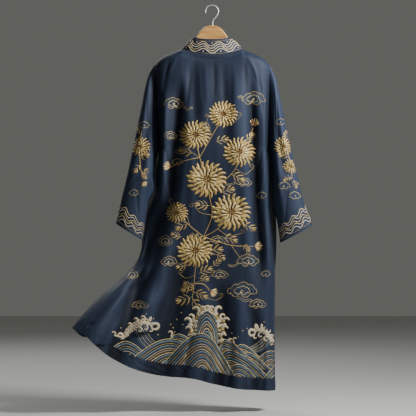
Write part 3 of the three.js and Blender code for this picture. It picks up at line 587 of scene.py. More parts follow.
# The back is one panel of navy silk from the shoulders to the hem. Its seams with the fronts and the
# sleeves are pressed flat, and its hem is turned up and puckers along the stitches.
BACK_COLUMNS = 190
BACK_ROWS = 236
RIDGE_ROWS = 9
HEM_DEPTH = 0.044
PUCKER = 0.0012
PUCKER_WAVES = ((1, 690, 0), (0.6, 437, 1.7), (0.4, 1010, 0.4))  # share, turns a metre times 2 pi, start
EDGE_CROWDING = 0.92  # how much closer together the columns lie at the side seams than in the middle


def spread_rows(count, end=1):
    """Shares of the robe's length for the rows of points, closest together over the shoulder."""
    ridge = RIDGE * (1 - np.cos(np.linspace(0, math.pi / 2, RIDGE_ROWS)))
    return np.concatenate([ridge, np.linspace(RIDGE, end, count - RIDGE_ROWS + 1)[1:]])


def with_puckers(points, out):
    """Adds small upright puckers along the stitched hem."""
    across = lengths(points, 1)
    down = lengths(points, 0)
    ripple = sum(share * np.sin(across * turns + start) for share, turns, start in PUCKER_WAVES)
    reach = ease(HEM_DEPTH * 1.25, HEM_DEPTH * 0.7, down[-1] - down)
    return points + out * (PUCKER * ripple * reach)[..., None]


back_shares = spread_rows(BACK_ROWS)
back_across = np.sin(np.linspace(-1, 1, BACK_COLUMNS) * math.pi / 2 * EDGE_CROWDING)
back_across /= back_across[-1]
share, across = np.meshgrid(back_shares, back_across, indexing="ij")
back_points = cloth_point("back", across, share)
back_points = with_puckers(back_points, -facing(back_points))
back_out = turn_seams(-facing(back_points), "back", back_shares, back_across, {-1: 0, 1: -1})
# Painted shade in the deep creases down both side edges of the back, beside the armholes.
painted_armhole_shade = np.exp(-(((1 - np.abs(across)) / 0.07) ** 2))
painted_armhole_shade *= ease(0.015, 0.06, share) * ease(0.75, 0.45, share)
back = shell("robe_back", back_points, back_out, CLOTH, -1, painted_crease_shade=painted_armhole_shade)


def named(strips, levels=("upper", "middle", "lower")):
    """The frame's solids of some strips, one for each level."""
    return [f"{strip}_{level}" for strip in strips for level in levels]


def silk_for(made, nodes):
    """Gives a piece of cloth its silk, and hides the frame's solids that it stands for."""
    made.data.materials.append(navy_silk)
    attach(made, "root")
    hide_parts(*nodes)


silk_for(back, named(("back_outer_left", "back_left", "back_right")))

# The fronts hang plain. The left one of the picture lies over the other and is lifted out from it, and
# both swell out under the arms, behind the hanging sleeves.
FRONT_COLUMNS = 90
FRONT_ROWS = 170
FRONT_CROWDING = 1.5  # the columns lie closer together at the side seam
OVERLAP_LIFT = 0.009
SWELL_AT = 0.1
FRONT_SWELL = {
    "share": (0.26, 0.275, 0.31, 0.37, 0.46, 0.54, 0.6, 0.66, 0.77, 1),
    "left": (0, 0.018, 0.029, 0.033, 0.030, 0.024, 0.010, 0, 0, 0),
    "right": (0, 0.018, 0.030, 0.034, 0.034, 0.030, 0.024, 0.014, 0, 0),
}
FRONT_EDGE = {
    "share": (0, 0.04, 0.1, 0.17, 0.24, 0.31, 0.4, 1),
    "across": (NECK_ACROSS, 0.47, 0.36, 0.2, 0.04, -0.1, -0.16, -0.16),
}
front_edge = curve_through(FRONT_EDGE, "share", "across")
front_swell = dict(zip((-1, 1), curves_through(FRONT_SWELL, "share").values()))


def front_point(side, across, share):
    points = cloth_point("front", across, share)
    if side < 0:
        points[..., 1] += OVERLAP_LIFT * ease(-0.66, -0.4, across) * ease(0.06, 0.2, share)
    return points


def front_panel(name, side):
    shares = spread_rows(FRONT_ROWS)
    share, step = np.meshgrid(shares, np.linspace(0, 1, FRONT_COLUMNS) ** FRONT_CROWDING, indexing="ij")
    across = side * (1 + (front_edge(share) - 1) * step)
    points = front_point(side, across, share)
    swell = np.sin(math.pi / 2 * np.minimum(2, step / SWELL_AT))
    points[..., 0] += side * swell * front_swell[side](share)
    points = with_puckers(points, -side * facing(points))
    out = turn_seams(-side * facing(points), "front", shares, across[0], {side: 0})
    return shell(name, points, out, CLOTH, -side)


front_left = front_panel("robe_front_left", -1)
front_right = front_panel("robe_front_right", 1)
silk_for(front_left, named(("front_left_outer", "front_left_inner")))
silk_for(front_right, named(("front_right",)))

# Each sleeve is a tube of the same navy silk, sewn into its armhole with a plain seam. It hangs between
# its top fold and its under seam and ends in an open cuff.
SLEEVE_AROUND = 96
SLEEVE_RINGS = 130
LEFT_SLEEVE = {
    "top_x": (-0.212, -0.233, -0.246, -0.257, -0.270, -0.283, -0.296, -0.308, -0.321, -0.336, -0.351),
    "top_z": (-0.220, -0.257, -0.306, -0.365, -0.430, -0.496, -0.558, -0.616, -0.671, -0.733, -0.801),
    "under_x": (-0.1935, -0.207, -0.209, -0.209, -0.210, -0.210, -0.222, -0.234, -0.241, -0.248, -0.256),
    "under_z": (-0.532, -0.573, -0.605, -0.633, -0.655, -0.677, -0.695, -0.721, -0.762, -0.811, -0.861),
    "depth": (ARMHOLE_DEPTH, 0.031, 0.036, 0.038, 0.039, 0.039, 0.038, 0.037, 0.037, 0.039, 0.041),
    "middle": (0, -0.004, -0.008, -0.012, -0.016, -0.020, -0.025, -0.030, -0.034, -0.036, -0.036),
}
RIGHT_SLEEVE = {
    "top_x": (0.212, 0.231, 0.243, 0.255, 0.268, 0.281, 0.296, 0.311, 0.325, 0.344, 0.370),
    "top_z": (-0.220, -0.259, -0.306, -0.365, -0.430, -0.487, -0.553, -0.620, -0.682, -0.743, -0.806),
    "under_x": (0.204, 0.219, 0.221, 0.222, 0.222, 0.223, 0.225, 0.232, 0.238, 0.244, 0.251),
    "under_z": (-0.532, -0.577, -0.611, -0.645, -0.677, -0.707, -0.733, -0.759, -0.787, -0.823, -0.871),
    "depth": (ARMHOLE_DEPTH, 0.031, 0.036, 0.039, 0.041, 0.042, 0.042, 0.041, 0.041, 0.043, 0.045),
    "middle": (0, -0.002, -0.004, -0.006, -0.008, -0.010, -0.013, -0.016, -0.018, -0.019, -0.019),
}
# Angles and widths are in degrees, heights in millimetres, places and lengths in shares of the sleeve.
SLEEVE_FOLDS = {
    "angle": (45, 78, 112, 238, 282, 60, 96, 128, 30, 66, 104, 256, 300, 220),
    "turn": (14, -10, 12, -12, 10, 40, 34, -30, -26, -44, 30, 36, -30, 24),
    "share": (0.3, 0.42, 0.6, 0.4, 0.5, 0.16, 0.24, 0.36, 0.5, 0.66, 0.8, 0.3, 0.62, 0.75),
    "length": (0.3, 0.34, 0.3, 0.34, 0.36, 0.14, 0.16, 0.16, 0.18, 0.16, 0.14, 0.18, 0.2, 0.16),
    "width": (16, 15, 15, 18, 18, 6, 6, 7, 7, 6, 7, 8, 8, 7),
    "height": (7, -8, 6, 7, -8, 2.0, -2.2, 2.0, -2.4, 2.6, -2.2, 2.4, -2.6, 2.2),
}


def sleeve_points(table, share, angle):
    """Points on a sleeve. The angle in degrees starts at the top fold and goes round the back first."""
    at = curves_through({**table, "share": np.linspace(0, 1, len(table["top_x"]))}, "share")
    turn = np.radians(angle)
    s = (1 - np.cos(turn)) / 2
    depth = at["depth"](share)
    for a, t, middle, length, width, height in zip(*SLEEVE_FOLDS.values()):
        centre = a + t * (share - middle) / length
        fade = ease(0, 1, 1 - np.abs(share - middle) / length)
        depth = depth + height / 1000 * fade * np.exp(-(((angle - centre) / width) ** 2))
    x = at["top_x"](share) * (1 - s) + at["under_x"](share) * s
    z = at["top_z"](share) * (1 - s) + at["under_z"](share) * s
    return np.stack([x, at["middle"](share) - depth * np.sin(turn), z], axis=-1)


def sleeve(name, side, table):
    angles = np.arange(SLEEVE_AROUND) / SLEEVE_AROUND * 360
    share, angle = np.meshgrid(np.linspace(0, 1, SLEEVE_RINGS), angles, indexing="ij")
    points = sleeve_points(table, share, angle)
    out = side * facing(points, looped=True)
    turn = np.radians(angles)
    out[0] = armhole_out(side, np.cos(turn), -np.sin(turn))
    # Painted shade round each sleeve where it meets the armhole, on all but its top fold.
    painted_sleeve_armhole_shade = np.exp(-((share / 0.07) ** 2)) * ease(0.05, 0.5, (1 - np.cos(np.radians(angle))) / 2)
    return shell(name, points, out, CLOTH, side, looped=True, painted_crease_shade=painted_sleeve_armhole_shade), points, out


sleeve_left, left_points, left_out = sleeve("sleeve_left", -1, LEFT_SLEEVE)
sleeve_right, right_points, right_out = sleeve("sleeve_right", 1, RIGHT_SLEEVE)
for side, made in (("left", sleeve_left), ("right", sleeve_right)):
    silk_for(made, named((f"sleeve_{side}_back", f"sleeve_{side}_front"), ("upper", "lower")))

# The collar is one folded band of navy silk, sewn edge to edge to the back of the neck and to both
# fronts. It stands round the neck and lies down on the chest.
COLLAR_WIDTH = 0.058
COLLAR_END = 0.6
BAND = 0.003
COLLAR_STAND = {
    "way": (0, 0.5, 0.85, 1, 1.12, 1.3, 1.6),
    "inwards": (0, 0.012, 0.033, 0.044, 0.045, 0.044, 0.042),
    "front": (0.014, 0.013, 0.009, 0.004, 0.004, 0.006, 0.006),
    "up": (0.058, 0.055, 0.049, 0.043, 0.034, 0.018, 0.004),
}
stand = curves_through(COLLAR_STAND, "way")
COLLAR_ACROSS = 14
COLLAR_ROWS = 118
NECK_ROWS = 61
COLLAR_BULGE = 0.0022
FLAT_FROM = 1.6


def collar_rows():
    """The band's seam: up along the left front, round the neck, and down the right front."""
    down = spread_rows(COLLAR_ROWS, COLLAR_END)[1:]
    left = [(1 + 2 * s, -1, s) for s in down[::-1]]
    middle = [(abs(n), np.sign(n), None) for n in np.linspace(-1, 1, NECK_ROWS)]
    right = [(1 + 2 * s, 1, s) for s in down]
    return left + middle + right


def collar_points():
    rows = []
    for way, side, share in collar_rows():
        if share is None:
            seam = cloth_point("back", np.array(side * way * NECK_ACROSS), np.array(0.0))
        else:
            seam = front_point(side, np.array(side * front_edge(share)), np.array(share))
        reach = min(way, FLAT_FROM)
        lean = [-side * stand["inwards"](reach), stand["front"](reach), stand["up"](reach)]
        free = seam + np.array(lean)
        if share is not None:
            half = (side_point(1, share)[0] - side_point(-1, share)[0]) / 2
            inwards = side * (front_edge(share) - COLLAR_WIDTH / half)
            flat = front_point(side, np.array(inwards), np.array(share))
            free = free + (flat - free) * ease(1.08, 1.5, way)
        rows.append((seam, free))
    seam, free = np.array(rows).swapaxes(0, 1)
    t = np.linspace(0, 1, COLLAR_ACROSS)[None, :, None]
    points = seam[:, None] * (1 - t) + free[:, None] * t
    return points - facing(points) * (COLLAR_BULGE * np.sin(math.pi * t))


collar_grid = collar_points()
collar_out = -facing(collar_grid)
collar = shell("collar_band", collar_grid, collar_out, BAND, -1)
silk_for(collar, ["collar"])

# The embroidery is satin stitch in gold, cream, tan and blue-grey thread. Every stroke is a low closed
# dome of thread that follows the cloth, its edges sunk a little into it. Strokes are drawn in
# millimetres: across and up in the picture for the body, along and across the cloth for the borders.
SINK = 0.3
STEP = 3.5
GOLD = (0.56, 0.405, 0.140, 0.45)
LIGHT_GOLD = (0.80, 0.66, 0.34, 0.4)
DEEP_GOLD = (0.20, 0.112, 0.030, 0.35)
CREAM = (0.66, 0.58, 0.43, 0)
BLUE_GREY = (0.068, 0.118, 0.158, 0)
TAN = (0.215, 0.155, 0.075, 0.1)
RED_ORANGE = (0.46, 0.055, 0.022, 0)
THREAD_SHADE = (0.62, 0.58, 0.52)
THREAD_WIDTH = 0.0007
TONE_SPREAD = 0.1
EDGE_ON = -0.12  # cloth that turns further from the view than this takes no strokes


def thread():
    """Shiny embroidery thread: fine slanted threads across each stroke, gold where the alpha says so."""
    made = Finish("embroidery_thread")
    made.shader.inputs["Specular IOR Level"].default_value = 0.6
    place = made.node("ShaderNodeUVMap", {"uv_map": "stroke"})
    along, across, _ = made.split(place)
    colour = made.attribute("thread", 0)
    threads = ((along + across * 0.35) * (2 * math.pi / THREAD_WIDTH) + made.noise(place, 300) * 2).wave()
    patchy = made.noise(made.stretch(place, (160, 900, 1)), 1, 3)
    shade = made.stretch(colour, THREAD_SHADE)
    made.feed("Base Color", made.blend(shade, colour, (patchy * 1.6 - 0.3).at_least(0).at_most(1)))
    made.feed("Metallic", made.attribute("thread", 3))
    made.feed("Roughness", patchy * 0.2 + 0.34)
    made.bump(threads * 0.5 + 0.5, 0.0003, 0.55)
    return made.material


embroidery_thread = thread()


def inside(polygon, points):
    """Whether each point lies in a polygon."""
    found = np.zeros(len(points), bool)
    x, z = points[:, 0], points[:, 1]
    for (ax, az), (bx, bz) in zip(polygon, np.roll(polygon, -1, axis=0)):
        if az != bz:
            found ^= ((az > z) != (bz > z)) & (x < (bx - ax) * (z - az) / (bz - az) + ax)
    return found


class Work:
    """Strokes of thread that become one piece. Lay finds places on the cloth and how it faces there."""

    def __init__(self, name, lay):
        self.name = name
        self.lay = lay
        self.corners, self.colours, self.flat, self.faces = [], [], [], []
        self.count = 0
        self.strokes = 0
        self.covers = []

    def strip(self, path, half, colour, rise=0.4, lift=0.15, wires=3):
        """A stroke along a path, its half width given once or for every point. Rise is the height of its
        dome and lift the height of its edges, in millimetres."""
        path = np.asarray(path, float)
        along = unit(np.gradient(path, axis=0))
        u = np.linspace(-1, 1, wires)
        half = np.broadcast_to(half, len(path))[:, None]
        beside = np.stack([-along[:, 1], along[:, 0]], axis=-1)[:, None]
        flat = path[:, None] + beside * (half * u)[..., None]
        height = np.where(np.abs(u) > 0.99, -SINK, lift + rise * (1 - u * u))
        place, out, found = self.lay(flat.reshape(-1, 2))
        place = (place + out * np.tile(height, len(path))[:, None] / 1000).reshape(len(path), wires, 3)
        out = out.reshape(len(path), wires, 3)
        keep = found.reshape(len(path), wires).all(axis=1)
        for cover in self.covers:
            hidden = inside(cover, path)
            hidden[1:-1] &= hidden[:-2] & hidden[2:]
            keep &= ~hidden
        distance = np.insert(np.cumsum(np.linalg.norm(np.diff(path, axis=0), axis=1)), 0, 0)
        self.strokes += 1
        tone = 1 + TONE_SPREAD * math.sin(self.strokes * 2.4)
        shade = (*(tone * part for part in colour[:3]), colour[3])
        ends = np.flatnonzero(np.diff(np.concatenate([[0], keep, [0]])))
        for first, last in zip(ends[::2], ends[1::2]):
            if last - first >= 3:
                strand = np.stack([distance[first:last, None] + 0 * u, half[first:last] * u], axis=-1)
                self.add_run(place[first:last], out[first, wires // 2], shade, strand / 1000)

    def edged(self, path, half, tone, edge, margin, rises, lifts, wires=3):
        """A stroke over a wider one that shows as its edge."""
        self.strip(path, half + margin, edge, rises[0], lifts[0], wires)
        self.strip(path, half, tone, rises[1], lifts[1], wires)

    def add_run(self, place, out, shade, strand):
        n, wires = place.shape[:2]
        grid = self.count + numbered(n, wires)
        faces = quads(grid, (0, 3, 2, 1)).tolist() + quads(grid[:, [0, -1]].T, (0, 3, 2, 1)).tolist()
        faces += [grid[0].tolist(), grid[-1, ::-1].tolist()]
        turned = np.dot(np.cross(place[1, 0] - place[0, 0], place[0, -1] - place[0, 0]), out) < 0
        self.faces += [face[::-1] for face in faces] if turned else faces
        self.corners.append(place.reshape(-1, 3))
        self.flat.append(strand.reshape(-1, 2) + self.strokes * 0.013)
        self.colours.append(np.tile(shade, (n * wires, 1)))
        self.count += n * wires

    def finish(self):
        corners, flat = np.concatenate(self.corners), np.concatenate(self.flat)
        made = add_mesh(self.name, corners, self.faces, "stroke", flat)
        colours = made.data.attributes.new("thread", "FLOAT_COLOR", "POINT")
        colours.data.foreach_set("color", np.concatenate(self.colours).ravel())
        made.data.materials.append(embroidery_thread)
        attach(made, "root")
        return made


def seen_from_behind(points, out, looped=False):
    """Lays strokes on the face of a grid that shows from behind, straight along the line of sight."""
    faces = quads(numbered(*points.shape[:2], looped))
    corners = (points + out * CLOTH / 2).reshape(-1, 3)
    tree = BVHTree.FromPolygons(corners.tolist(), faces.tolist())
    normals = out.reshape(-1, 3)

    def lay(flat):
        place = np.zeros((len(flat), 3))
        facing_out = np.zeros((len(flat), 3))
        found = np.zeros(len(flat), bool)
        for i, (x, z) in enumerate(flat / 1000):
            hit, _, face, _ = tree.ray_cast((x, -1, z), (0, 1, 0))
            if hit is not None:
                normal = normals[faces[face]].mean(axis=0)
                if normal[1] < EDGE_ON:
                    place[i], facing_out[i], found[i] = hit, normal / np.linalg.norm(normal), True
        return place, facing_out, found

    return lay


def path_through(points, step=STEP):
    """A smooth path through a few points, in even steps."""
    points = np.array(points, float)
    t = np.insert(np.cumsum(np.linalg.norm(np.diff(points, axis=0), axis=1)), 0, 0)
    table = {"t": t, "x": points[:, 0], "z": points[:, 1]}
    at = np.linspace(0, t[-1], max(4, int(t[-1] / step) + 1))
    return np.stack([curve_through(table, "t", key)(at) for key in ("x", "z")], axis=-1)


def swell(count, wide, at=0.5, least=0.25):
    """Half widths of a stroke that is widest at a share of its length and narrow at both ends."""
    t = np.linspace(0, 1, count) ** (math.log(0.5) / math.log(at))
    return least + wide * np.sin(math.pi * t) ** 0.7


def around(x, z, reach, way, squash=1):
    """Places at given distances and angles from a centre."""
    return np.stack([x + reach * np.cos(way), z + squash * reach * np.sin(way)], axis=-1)


def spiral(x, z, radius, start, turns, way, tight=0.2):
    """A curl that starts at an angle in degrees and winds inwards. Way is 1 for anticlockwise."""
    count = max(6, int(radius * abs(turns) * 4.2 / 3))
    t = np.linspace(0, 1, count)
    r = radius * (1 - (1 - tight) * t)
    return around(x, z, r, math.radians(start) + way * turns * 2 * math.pi * t)


# Flower sprays in gold thread fill the middle of the back: open chrysanthemums with rings of narrow
# petals, buds, lobed leaves and curling tendrils on stems that rise in an S from above the hem.
back_lay = seen_from_behind(back_points, back_out)


PETAL_RINGS = {
    "outer": (1, 0.8, 0.58, 0.36),
    "inner": (0.46, 0.3, 0.16, 0.08),
    "petals": (22, 18, 14, 10),
    "width": (0.098, 0.092, 0.082, 0.066),
    "tone": (GOLD, GOLD, LIGHT_GOLD, GOLD),
}
RING_RISE = 0.55


def bloom(work, x, z, size, squash, turn):
    """An open flower with four rings of petals, the inner ones raised over the outer ones."""
    for level, (outer, inner, count, wide, tone) in enumerate(zip(*PETAL_RINGS.values())):
        count = round(count * min(1, 0.45 + size / 100))
        up = RING_RISE * level
        for i in range(count):
            angle = math.radians(turn + level * 9) + i * 2 * math.pi / count
            reach = outer * (1 + 0.05 * math.sin(i * 2.7 + level))
            t = np.linspace(0, 1, max(6, int(size * (reach - inner) / 2.6)))
            bent = angle + 0.16 * t * t * (1 if level % 2 else -1)
            petal = around(x, z, size * (inner + (reach - inner) * t), bent, squash)
            half = swell(len(t), size * wide, 0.66)
            work.edged(petal, half, tone, DEEP_GOLD, 0.9, (0.3, 0.55), (0.1 + up, 0.3 + up))
    for i in range(7):
        r = 0 if i == 6 else size * 0.075
        heart = around(x, z, r, i * math.pi * 2 / 6, squash)
        spot = spiral(*heart, size * 0.028, 0, 0.8, 1)
        work.strip(spot, size * 0.022, RED_ORANGE if i % 2 else LIGHT_GOLD, 0.6, 2.2)


def bud(work, x, z, size, angle):
    """A closed flower in its cup, with the petals fanned out on one side."""
    for i, lean in enumerate((-46, -28, -10, 10, 28, 46)):
        reach = size * (1 - 0.004 * abs(lean)) * np.linspace(0, 1, 8)
        petal = around(x, z, reach, math.radians(angle + lean))
        tone = LIGHT_GOLD if i % 2 else GOLD
        work.edged(petal, swell(8, size * 0.13, 0.62), tone, DEEP_GOLD, 0.8, (0.3, 0.5), (0.1, 0.3))
    for lean in (-60, -20, 20, 60):
        cup = around(x, z, size * 0.42 * np.linspace(0, 1, 6), math.radians(angle + lean))
        work.strip(cup, swell(6, size * 0.08), RED_ORANGE if abs(lean) < 30 else TAN, 0.4, 0.8)


LOBES = ((0.16, 62, 0.44), (0.42, 50, 0.48), (0.66, 38, 0.36))  # share of the rib, lean, length


def leaf(work, x, z, size, angle, bend=18):
    """A lobed leaf: pairs of lobes on a middle rib."""
    t = np.linspace(0, 1, max(8, int(size / 3)))
    way = np.radians(angle + bend * (t - 0.5))
    steps = np.stack([np.cumsum(np.cos(way)), np.cumsum(np.sin(way))], axis=-1)
    rib = (x, z) + steps * size / len(t)
    for at, lean, reach in LOBES:
        for side in (-1, 1):
            i = int(at * (len(t) - 1))
            s = np.linspace(0, 1, 8)[:, None]
            lobe_way = way[i] + side * (math.radians(lean) - 0.3 * s)
            lobe = rib[i] + size * reach * s * np.hstack([np.cos(lobe_way), np.sin(lobe_way)])
            half = swell(8, size * 0.07, 0.5, 0.1)
            work.edged(lobe, half, GOLD if side > 0 else TAN, DEEP_GOLD, 0.8, (0.25, 0.4), (0.05, 0.2))
            work.strip(lobe[:6], 0.5, LIGHT_GOLD, 0.2, 0.5)
    tip = rib[int(0.6 * len(t)) :]
    work.strip(tip, swell(len(tip), size * 0.08, 0.4, 0.1), GOLD, 0.4, 0.3)
    work.strip(rib, 0.8, LIGHT_GOLD, 0.35, 0.6)


def tendril(work, points, radius, turns, way):
    """A thin stem that ends in a curl."""
    path = path_through(points)
    last = path[-1] - path[-2]
    start = math.degrees(math.atan2(last[1], last[0])) - 90 * way
    centre = around(*path[-1], -radius, math.radians(start))
    whole = np.concatenate([path, spiral(*centre, radius, start, turns, way)[1:]])
    work.strip(whole, np.linspace(1.2, 0.6, len(whole)), GOLD, 0.35, 0.2)


flowers = Work("embroidered_flowers", back_lay)
STEMS = (
    ((-72, -1078), (-66, -1020), (-58, -950), (-30, -850), (0, -770), (-10, -700), (-20, -640)),
    ((-20, -640), (-45, -560), (-62, -478)),
    ((-10, -700), (40, -650), (85, -600), (100, -540)),
    ((-45, -560), (0, -480), (30, -430)),
    ((-30, -850), (20, -820), (70, -760)),
    ((-30, -850), (-80, -810), (-128, -762)),
    ((-58, -950), (-64, -925), (-62, -900)),
    ((85, -600), (130, -520), (150, -450)),
    ((-45, -560), (-110, -575), (-150, -595)),
    ((-30, -850), (70, -880), (152, -884)),
    ((-66, -1020), (-30, -1022), (-8, -1045)),
)
for stem in STEMS:
    path = path_through(stem)
    flowers.edged(path, np.linspace(2.4, 1.6, len(path)), GOLD, DEEP_GOLD, 0.8, (0.3, 0.45), (0.05, 0.2))
# Leaves: x, z, length, and the angle that they point in. An odd angle bends the other way.
LEAVES = (
    (-60, -1040, 52, 150), (-52, -985, 60, 20), (-22, -905, 66, 8), (14, -800, 56, 24),
    (-4, -735, 60, 172), (30, -690, 58, 14), (-34, -610, 62, 205), (-70, -545, 56, 160),
    (66, -620, 60, -30), (104, -560, 48, 20), (10, -505, 54, 12), (-2, -455, 46, 150),
    (58, -430, 52, 60), (124, -500, 44, 40), (112, -805, 54, -24), (-84, -800, 58, 205),
    (-108, -850, 46, 160), (40, -850, 58, -20), (10, -912, 44, -30), (108, -880, 40, -40),
    (-52, -1000, 44, -10), (-88, -950, 46, 190), (-40, -860, 50, 165), (2, -960, 42, 40),
    (-72, -1066, 66, 196), (-70, -1050, 60, -24), (-68, -1016, 58, 214), (-74, -1072, 56, -62),
)
ODD_BEND, EVEN_BEND = 24, -22
for x, z, size, angle in LEAVES:
    leaf(flowers, x, z, size, angle, ODD_BEND if angle % 2 else EVEN_BEND)
# Tendrils: the points of the stem, and the radius, turns and way of its curl.
TENDRILS = (
    (((-20, -1070), (10, -1080), (36, -1070)), 9, 1.2, 1),
    (((-62, -990), (-96, -1000), (-118, -985)), 9, 1.2, -1),
    (((0, -770), (-44, -760), (-66, -730)), 10, 1.2, 1),
    (((85, -600), (120, -620), (150, -600)), 10, 1.3, 1),
    (((-45, -560), (-96, -530), (-122, -545)), 9, 1.3, -1),
    (((30, -430), (70, -440), (104, -410)), 10, 1.2, 1),
    (((0, -480), (-20, -440), (-14, -410)), 8, 1.2, 1),
    (((70, -880), (110, -930), (136, -915)), 9, 1.3, 1),
    (((-80, -810), (-110, -730), (-150, -725)), 9, 1.2, -1),
    (((20, -820), (60, -845), (112, -835)), 8, 1.2, 1),
    (((-66, -1020), (-20, -1000), (6, -985)), 8, 1.2, 1),
)
for points, radius, turns, way in TENDRILS:
    tendril(flowers, points, radius, turns, way)
# Open flowers: x, z, radius and turn. Buds: x, z and angle.
BLOOMS = (
    (40, -402, 54, 0), (-62, -478, 58, 8), (100, -540, 60, 4), (-20, -640, 74, 12),
    (-128, -762, 42, 0), (70, -760, 74, 6), (-62, -900, 66, 10),
)
BLOOM_SQUASH = 0.92
for x, z, size, turn in BLOOMS:
    bloom(flowers, x, z, size, BLOOM_SQUASH, turn)
BUD_SIZE = 30
BUDS = ((150, -445, 70), (-152, -594, 165), (156, -882, -10), (-6, -1046, -30))
for x, z, angle in BUDS:
    bud(flowers, x, z, BUD_SIZE, angle)
flowers_piece = flowers.finish()

# Clouds in gold and blue-grey thread float on the back and on both sleeves. Each is a nest of lobed
# lines round a small spiral, sewn one line inside the other, and some have a wavy tail.
CLOUD_LOBES = {
    "side": (-0.36, -0.17, 0.05, 0.25, 0.4, -0.2, 0.12),
    "up": (0, 0.16, 0.22, 0.12, -0.04, -0.12, -0.14),
    "round": (0.2, 0.32, 0.4, 0.34, 0.18, 0.28, 0.3),
}


def cloud_line(x, z, width, height, flip, scale):
    """The line round overlapping round lobes, flatter below."""
    angle = np.linspace(0, 2 * math.pi, max(24, int((width + height) * scale * 1.7 / STEP)) + 1)
    way = np.stack([np.cos(angle), np.sin(angle)], axis=-1)
    reach = np.zeros_like(angle)
    for side, up, size in zip(*CLOUD_LOBES.values()):
        centre = np.array([side * width, up * height])
        along = way @ centre
        root = (size * height) ** 2 - (centre @ centre - along**2)
        reach = np.maximum(reach, np.where(root > 0, along + np.sqrt(np.maximum(root, 0)), 0))
    return way * reach[:, None] * scale * (flip, 1) + (x, z)


CLOUD_LINES = ((1, 1.4, GOLD), (0.78, 1.1, BLUE_GREY), (0.56, 1.3, LIGHT_GOLD), (0.36, 1, BLUE_GREY))
LEAST_CLOUD = 15


def cloud(work, x, z, width, height, flip=1):
    """A cloud of nested lobed lines round a curl."""
    for scale, half, tone in CLOUD_LINES:
        if height * scale > LEAST_CLOUD:
            work.strip(cloud_line(x, z, width, height, flip, scale), half, tone, 0.3, 0.12)
    curl = spiral(x, z, height * 0.13, 200, 1.3, flip, 0.2)
    work.strip(curl, 1.1, LIGHT_GOLD, 0.3, 0.35)


def cloud_tail(work, points, width):
    """Three wavy lines side by side that trail from a cloud."""
    path = path_through(points)
    along = np.gradient(path, axis=0)
    beside = unit(np.stack([-along[:, 1], along[:, 0]], axis=-1))
    wave = np.sin(np.linspace(0, 3 * math.pi, len(path)))[:, None]
    for offset, tone in ((-0.5, GOLD), (0, BLUE_GREY), (0.5, GOLD)):
        line = path + beside * (offset * width + wave * 1.6)
        work.strip(line, 1.5 if tone is BLUE_GREY else 1.0, tone, 0.3, 0.12)


# Clouds: x, z, width and height.
CLOUDS = (
    (-139, -364, 76, 38), (150, -347, 92, 46), (-150, -481, 46, 28), (-128, -577, 40, 22),
    (118, -652, 62, 30), (181, -699, 38, 22), (24, -862, 66, 28), (-171, -867, 50, 36),
    (132, -938, 84, 42), (-158, -940, 60, 34), (30, -988, 64, 30), (108, -1046, 116, 52),
    (168, -1096, 66, 32), (-293, -989, 44, 30), (-260, -1098, 66, 28), (196, -985, 34, 20),
)
CLOUD_TAILS = (
    (((88, -1068), (120, -1080), (146, -1082)), 8),
    (((-108, -372), (-92, -384), (-70, -378)), 6),
    (((118, -352), (104, -338), (90, -342)), 6),
    (((84, -650), (66, -660), (48, -654)), 6),
    (((94, -946), (76, -956), (58, -950)), 6),
)
clouds = Work("embroidered_clouds", back_lay)
for i, (x, z, width, height) in enumerate(CLOUDS):
    cloud(clouds, x, z, width, height, 1 if i % 2 else -1)
for points, width in CLOUD_TAILS:
    cloud_tail(clouds, points, width)
clouds_piece = clouds.finish()

# Waves stand along the hem: nested bands of blue-grey, tan and cream between gold lines, with a tall
# crest of foam in the middle and one at each side. The front mounds hide the ones behind them.
WAVE_CLEAR = 46
BANDS = ((LIGHT_GOLD, 1.9), (BLUE_GREY, 6), (GOLD, 1.6), (BLUE_GREY, 6), (CREAM, 1.5), (TAN, 6))
BAND_STEP = 7.6
BELOW_THE_HEM = ((260, -1500), (-560, -1500))
hem_share = np.linspace(0.02, 1, 90)
hem_line = np.stack([curve(hem_share) for curve in hem_curves["back"].values()], axis=-1) * 1000
waves = Work("embroidered_waves", back_lay)
waves.covers.append(np.concatenate([hem_line + (0, WAVE_CLEAR), BELOW_THE_HEM]))
MOUNDS = {
    "left_x": (-206, 150, 20, -318, -10, -378, 20, -190, 60, 150, 60),
    "left_z": (-1322, -1412, -1375, -1304, -1330, -1264, -1290, -1262, -1300, -1312, -1280),
    "peak_x": (-32, 250, 98, -147, 70, -304, 42, -122, 128, 214, 108),
    "peak_z": (-1201, -1316, -1312, -1221, -1262, -1227, -1222, -1203, -1268, -1266, -1240),
    "right_x": (106, 330, 186, 10, 250, -214, 150, -40, 210, 276, 176),
    "right_z": (-1376, -1400, -1392, -1330, -1400, -1300, -1300, -1262, -1330, -1320, -1290),
    "blunt": (1.5, 1.2, 1.2, 1.2, 1.2, 1.1, 1.2, 1.2, 1.1, 1.1, 1.2),
    "drop": (0, 40, 20, 46, 30, 60, 30, 40, 30, 40, 30),
}


def mound_line(row, scale):
    """A line from foot to foot over the peak, drawn smaller towards a point under it."""
    ends = ("left", "peak", "right")
    left, peak, right = (np.array([row[f"{end}_x"], row[f"{end}_z"]]) for end in ends)
    t = np.linspace(0, 1, max(16, int(np.linalg.norm(right - left) * scale * 1.5 / STEP)))
    top = (peak[0] - left[0]) / (right[0] - left[0])
    quarter = math.pi / 2
    rise = np.where(t < top, np.sin(quarter * t / top), np.cos(quarter * (t - top) / (1 - top)))
    rise = np.clip(rise, 0, 1) ** row["blunt"]
    foot = left + (right - left) * top
    path = left + (right - left) * t[:, None] + np.outer(rise, peak - foot)
    middle = foot - (0, row["drop"])
    return middle + (path - middle) * scale


def band(work, line, level, wider=1):
    """One of the bands by turns. The narrow ones lie over the edges of the wide ones."""
    tone, half = BANDS[level % len(BANDS)]
    work.strip(line, half * wider, tone, 0.35, 0.12 if half > 2 else 0.3)


